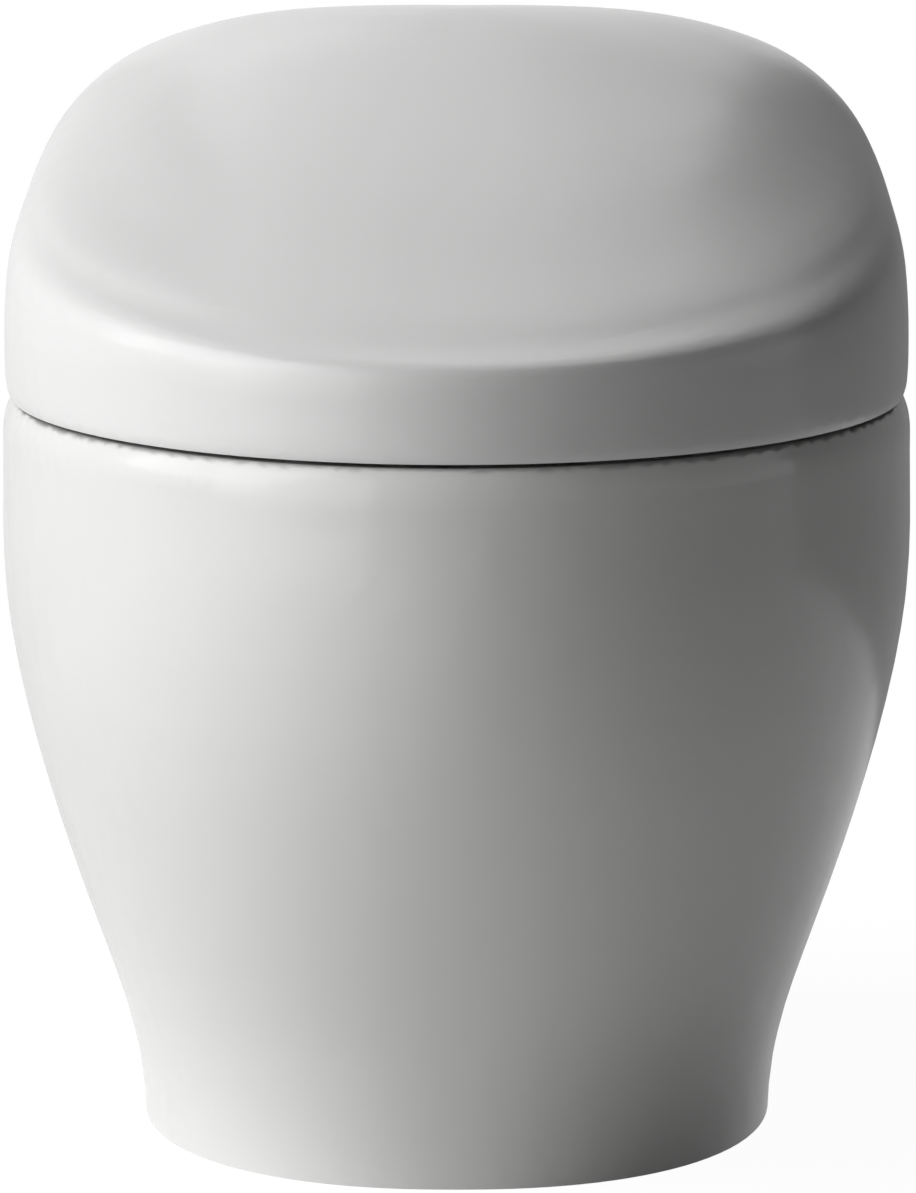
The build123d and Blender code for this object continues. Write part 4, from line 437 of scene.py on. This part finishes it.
@dataclass
class Assembly:
    """A group of the object's pieces that is built and dressed together.

    Args:
        finishes: Material by finish name, shared by all assemblies.
    """

    frame: dict[str, Any]
    finishes: dict[str, bpy.types.Material]

    def material(self, finish: Finish) -> bpy.types.Material:
        """The one material of a finish, made at its first use."""
        if finish.name not in self.finishes:
            self.finishes[finish.name] = finish.material()
        return self.finishes[finish.name]

    def node(self, name: str) -> bpy.types.Object:
        """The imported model's own object of a node."""
        return self.frame["nodes"][name]

    def body_of(self, name: str) -> str:
        """The body that carries a node."""
        bodies = self.frame["record"]["behaviour"]["bodies"]
        return next(body for body, nodes in bodies.items() if name in nodes)

    def skin(self, node: str, title: str, finish: Finish,
             shape: Optional[Callable[[bpy.types.Object], None]] = None) -> None:
        """Makes a merged, smoothly shaded copy of a node that stands for it.

        Args:
            node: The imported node.
            title: The new piece's name.
            finish: Its finish.
            shape: Changes the copy's mesh before it is shaded.
        """
        Bench.select_only(self.node(node))
        bpy.ops.object.duplicate()
        piece = bpy.context.view_layer.objects.active
        piece.name = title
        piece.parent = None
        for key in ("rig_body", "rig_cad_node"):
            del piece[key]
        with Bench.editing(piece):
            bpy.ops.mesh.remove_doubles(threshold=WELD_REACH)
        if shape:
            shape(piece)
        Bench.smooth(piece, SMOOTH_DEGREES)
        Bench.dress(piece, self.material(finish))
        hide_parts(node)
        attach(piece, self.body_of(node))
        LOG.info("%s stands for %s: %d faces", title, node, len(piece.data.polygons))


@dataclass
class ChinaStand(Assembly):
    """The china body with its floor fixings, seal, tank, pump and pipes."""

    def build(self) -> None:
        """Skins the china, what is inside the skirt, and the mains gland."""
        self.skin("ceramic_body", "china_body", WHITE_GLAZE)
        self.skin("flush_tank", "cistern", NATURAL_PIPE)
        for node, finish in (("pump_housing", DARK_RESIN), ("pump_impeller", INNER_RESIN),
                             ("jet_pipe", NATURAL_PIPE), ("rim_pipe", NATURAL_PIPE),
                             ("inlet_valve", INNER_RESIN), ("waste_seal", BLACK_RUBBER),
                             ("floor_brackets", ZINC_PLATE), ("side_screws", BRUSHED_STEEL),
                             ("screw_caps", UNIT_RESIN), ("mains_gland", BLACK_RUBBER)):
            self.skin(node, f"{node}_piece", finish)


@dataclass
class DomedTop(Assembly):
    """The lid and the rear cover, which share one domed form with full shoulders.

    Args:
        lift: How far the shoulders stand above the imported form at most, in metres.
        edge: Half width at which the lift has died out, in metres.
        skew: Power that moves the greatest lift outwards from the middle.
        depths: Depths between which the lift comes in, from the front, in metres.
        heights: Heights between which the lift comes in, in metres.
        clear: How far above a point the test for open air starts, in metres.
    """

    lift: float = 0.0036
    edge: float = 0.212
    skew: float = 1.5
    depths: tuple[float, float] = (-0.02, 0.19)
    heights: tuple[float, float] = (0.465, 0.497)
    clear: float = 0.0002

    @staticmethod
    def _ease(value: float, span: tuple[float, float]) -> float:
        """Rises smoothly from 0 to 1 over a span."""
        share = min(max((value - span[0]) / (span[1] - span[0]), 0.0), 1.0)
        return share * share * (3.0 - 2.0 * share)

    def _rise(self, spot: Vector) -> float:
        """How far a point of the outer skin is raised."""
        across = min(abs(spot.x) / self.edge, 1.0) ** self.skew
        return (self.lift * math.sin(math.pi * across) * self._ease(spot.y, self.depths)
                * self._ease(spot.z, self.heights))

    def shoulders(self, piece: bpy.types.Object) -> None:
        """Raises the outer skin of a piece at its shoulders, and leaves its inside as it is.

        Args:
            piece: The lid or the rear cover.
        """
        up = Vector((0.0, 0.0, 1.0))
        bpy.context.view_layer.update()
        raised = {}
        for vertex in piece.data.vertices:
            rise = self._rise(vertex.co)
            if rise > 0.0 and not piece.ray_cast(vertex.co + up * self.clear, up)[0]:
                raised[vertex.index] = rise
        for index, rise in raised.items():
            piece.data.vertices[index].co.z += rise
        piece.data.update()
        LOG.info("%s has full shoulders: %d points raised", piece.name, len(raised))

    def build(self) -> None:
        """Skins the lid, the cover and the lid's buffers."""
        self.skin("lid_shell", "domed_lid", SHELL_RESIN, shape=self.shoulders)
        self.skin("rear_cover", "rear_dome", SHELL_RESIN, shape=self.shoulders)
        self.skin("lid_buffers", "lid_buffer_set", PALE_RUBBER)


@dataclass
class HeatedSeat(Assembly):
    """The ring seat on its base plate with two arms."""

    def build(self) -> None:
        """Skins the seat's mouldings, its heater and its buffers."""
        self.skin("seat_top", "seat_ring", SEAT_RESIN)
        self.skin("seat_base", "seat_plate", SEAT_RESIN)
        self.skin("seat_heater", "seat_foil", HEATER_FOIL)
        self.skin("seat_buffers", "seat_buffer_set", PALE_RUBBER)


@dataclass
class WashingUnit(Assembly):
    """The unit behind the seat: casing, wand, dryer, keys and works."""

    def build(self) -> None:
        """Skins every piece of the unit."""
        for node, finish in (("unit_cover", UNIT_RESIN), ("unit_base", INNER_RESIN),
                             ("unit_bracket", BRUSHED_STEEL), ("unit_bolts", BRUSHED_STEEL),
                             ("unit_nuts", ZINC_PLATE), ("hinge_drives", INNER_RESIN),
                             ("hinge_pins", BRUSHED_STEEL), ("wand", WAND_RESIN), ("wand_tip", WAND_RESIN),
                             ("wand_cradle", INNER_RESIN), ("wand_pinion", INNER_RESIN),
                             ("wand_motor", ZINC_PLATE), ("shutter", UNIT_RESIN),
                             ("dryer_duct", INNER_RESIN), ("dryer_heater", HEATER_FOIL),
                             ("blower_housing", DARK_RESIN), ("blower_fan", DARK_RESIN),
                             ("filter_holder", INNER_RESIN), ("deodoriser", FILTER_CASE),
                             ("water_heater", INNER_RESIN), ("valve_block", DARK_RESIN),
                             ("control_board", BOARD_LAMINATE), ("button_board", BOARD_LAMINATE),
                             ("button_1", UNIT_RESIN), ("button_2", UNIT_RESIN), ("button_3", UNIT_RESIN),
                             ("button_4", UNIT_RESIN), ("sensor_window", DARK_WINDOW)):
            self.skin(node, f"{node}_piece", finish)


@dataclass
class Lamp:
    """One soft studio lamp.

    Args:
        name: Its name.
        spot: Its place in metres.
        width: Its width in metres.
        height: Its height in metres.
        power: Its power in watts.
        aim: The point it faces.
    """

    name: str
    spot: tuple[float, float, float]
    width: float
    height: float
    power: float
    aim: tuple[float, float, float] = (0.0, 0.0, 0.28)

    def build(self) -> None:
        """Adds the lamp and turns it towards its aim."""
        bpy.ops.object.light_add(type="AREA", location=self.spot)
        lamp = bpy.context.object
        lamp.name = self.name
        lamp.data.shape = "RECTANGLE"
        lamp.data.size = self.width
        lamp.data.size_y = self.height
        lamp.data.energy = self.power
        lamp.rotation_euler = (Vector(self.aim) - Vector(self.spot)).to_track_quat("-Z", "Y").to_euler()


@dataclass
class Flag:
    """A grey card behind the object that only mirrored rays see, so that the object's edges stand out.

    Args:
        name: Its name.
        spot: Its middle in metres.
        width: Its width in metres.
        height: Its height in metres.
        turn: How far it is turned about the vertical, in degrees.
        grey: Its brightness.
    """

    name: str
    spot: tuple[float, float, float]
    width: float
    height: float
    turn: float
    grey: float

    def build(self) -> None:
        """Adds the card upright, hidden from all rays but mirrored ones."""
        bpy.ops.mesh.primitive_plane_add(size=1.0, location=self.spot,
                                         rotation=(math.radians(RIGHT_ANGLE), 0.0, math.radians(self.turn)))
        card = bpy.context.object
        card.name = self.name
        card.scale = (self.width, self.height, 1.0)
        for rays in ("camera", "diffuse", "transmission", "volume_scatter", "shadow"):
            setattr(card, f"visible_{rays}", False)
        bench = NodeBench(self.name)
        glow = bench.node("ShaderNodeEmission", {}, {"Strength": self.grey})
        bench.node("ShaderNodeOutputMaterial", {}, {"Surface": glow})
        Bench.dress(card, bench.material)


@dataclass
class Studio:
    """Floor, surroundings, lamps and camera of the photograph.

    Args:
        camera_height: Camera above the floor in metres.
        camera_reach: Camera to the middle of the object along the floor in metres.
        pitch: How far the camera looks down, in degrees.
        yaw: How far the camera stands to the right, in degrees.
        focal: Focal length in pixels of the photograph's frame.
        frame_width: Width of the photograph in pixels.
        frame_height: Height of the photograph in pixels.
        centre: The pixel that the camera's axis goes through.
        ambient: Strength of the surroundings' light on the object.
        floor_pale: Brightness of the floor as the object's light meets it.
        floor_shadow: Share of the lamps' light that the floor shows, so that the shadow shows.
        floor_white: White that the floor shows besides.
        floor_near: Distance from the middle up to which the floor shows the shadow, in metres.
        floor_far: Distance from which it is plain white, in metres.
        floor_mirrored: How far a mirrored ray sees that white instead of the pale floor.
        floor_size: Length of the floor's sides in metres.
        floor_cells: Cells of the floor along each side.
        sensor: Width of the camera's sensor in millimetres.
        sight: Farthest distance that the camera sees, in metres.
        lamps: The lamps.
        flags: The grey cards.
    """

    camera_height: float = 0.808
    camera_reach: float = 4.550
    pitch: float = 6.93
    yaw: float = 0.3
    focal: float = 9104.0
    frame_width: float = 916.0
    frame_height: float = 1193.0
    centre: tuple[float, float] = (457.0, 596.0)
    ambient: float = 0.03
    floor_pale: float = 0.75
    floor_shadow: float = 0.10
    floor_white: float = 0.96
    floor_near: float = 0.9
    floor_far: float = 1.8
    floor_mirrored: float = 0.5
    floor_size: float = 60.0
    floor_cells: int = 4
    sensor: float = 36.0
    sight: float = 100.0
    lamps: tuple[Lamp, ...] = (
        Lamp("window_light", (-2.785, 0.0, 2.230), 3.4, 3.4, 76.0),
        Lamp("room_light", (-2.780, -1.752, 1.170), 3.4, 3.4, 71.0),
        Lamp("rear_light", (-1.093, 1.893, 2.884), 3.4, 3.4, 13.0),
    )
    flags: tuple[Flag, ...] = (
        Flag("dark_flag", (1.30, 1.00, 0.60), 2.0, 1.4, 0.0, 0.27),
        Flag("pale_flag", (-1.30, 1.00, 0.60), 2.0, 1.4, 0.0, 0.70),
    )

    @staticmethod
    def background_rays(bench: NodeBench, mirrored_share: float) -> Wire:
        """How far a ray shows the background: straight, mirrored or through glass.

        Args:
            bench: The bench of the floor or of the surroundings.
            mirrored_share: How far a mirrored ray shows it.

        Returns:
            The wire of the share, between 0 and 1.
        """
        paths = bench.node("ShaderNodeLightPath").socket.node
        seen, mirrored, through = (Wire(bench, paths.outputs[name]) for name in (
            "Is Camera Ray", "Is Glossy Ray", "Is Transmission Ray"))
        shown = seen + mirrored * mirrored_share + through
        return bench.node("ShaderNodeMath", {"operation": "MINIMUM"}, {0: shown, 1: 1.0})

    def floor(self) -> None:
        """Adds the floor: pale as light on the object, and white with a soft shadow in the picture."""
        bpy.ops.mesh.primitive_grid_add(x_subdivisions=self.floor_cells, y_subdivisions=self.floor_cells,
                                        size=self.floor_size, location=(0.0, 0.0, 0.0))
        ground = bpy.context.object
        ground.name = "studio_floor"
        bench = NodeBench("studio_floor")
        pale = bench.node("ShaderNodeBsdfDiffuse", {}, {"Color": grey(self.floor_pale)})
        shaded = bench.node("ShaderNodeBsdfDiffuse", {}, {"Color": grey(self.floor_shadow)})
        white = bench.node("ShaderNodeEmission", {}, {"Strength": self.floor_white})
        near = bench.node("ShaderNodeAddShader", {}, {0: shaded, 1: white})
        far = bench.node("ShaderNodeEmission", {}, {"Strength": 1.0})
        reach = bench.node("ShaderNodeVectorMath", {"operation": "LENGTH"}, {0: bench.place()}, "Value")
        away = bench.node("ShaderNodeMapRange", {}, {
            "Value": reach, "From Min": self.floor_near, "From Max": self.floor_far})
        shown = bench.node("ShaderNodeMixShader", {}, {0: away, 1: near, 2: far})
        mixed = bench.node("ShaderNodeMixShader", {}, {
            0: self.background_rays(bench, self.floor_mirrored), 1: pale, 2: shown})
        bench.node("ShaderNodeOutputMaterial", {}, {"Surface": mixed})
        Bench.dress(ground, bench.material)

    def surroundings(self) -> None:
        """Makes the surroundings white as background and dim as light on the object."""
        world = bpy.data.worlds.new("studio_air")
        bpy.context.scene.world = world
        world.use_nodes = True
        bench = NodeBench.of_tree(world.node_tree)
        dim = bench.node("ShaderNodeBackground", {}, {"Color": grey(1.0), "Strength": self.ambient})
        white = bench.node("ShaderNodeBackground", {}, {"Color": grey(1.0), "Strength": 1.0})
        mixed = bench.node("ShaderNodeMixShader", {}, {
            0: self.background_rays(bench, 1.0), 1: dim, 2: white})
        bench.node("ShaderNodeOutputWorld", {}, {"Surface": mixed})

    def camera(self) -> None:
        """Adds the camera where the photograph was taken from."""
        turn = math.radians(self.yaw)
        spot = (math.sin(turn) * self.camera_reach, -math.cos(turn) * self.camera_reach, self.camera_height)
        tilt = math.radians(RIGHT_ANGLE - self.pitch)
        bpy.ops.object.camera_add(location=spot, rotation=(tilt, 0.0, turn))
        eye = bpy.context.object
        eye.name = "photo_camera"
        eye.data.sensor_fit = "AUTO"
        eye.data.sensor_width = self.sensor
        eye.data.lens = self.focal / self.frame_height * self.sensor
        eye.data.shift_x = (self.frame_width / 2.0 - self.centre[0]) / self.frame_height
        eye.data.shift_y = (self.centre[1] - self.frame_height / 2.0) / self.frame_height
        eye.data.clip_end = self.sight
        bpy.context.scene.camera = eye

    def build(self) -> None:
        """Adds everything that isn't the object."""
        self.floor()
        self.surroundings()
        for piece in (*self.lamps, *self.flags):
            piece.build()
        self.camera()
        bpy.context.scene.view_settings.view_transform = "Standard"


def main() -> None:
    """Builds and dresses the object, then the studio."""
    logging.basicConfig(level=logging.INFO, format="%(name)s: %(message)s")
    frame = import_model()
    finishes: dict[str, bpy.types.Material] = {}
    for assembly in (ChinaStand, DomedTop, HeatedSeat, WashingUnit):
        assembly(frame, finishes).build()
        LOG.info("%s is ready", assembly.__name__)
    Studio().build()


if __name__ == "__main__":
    main()
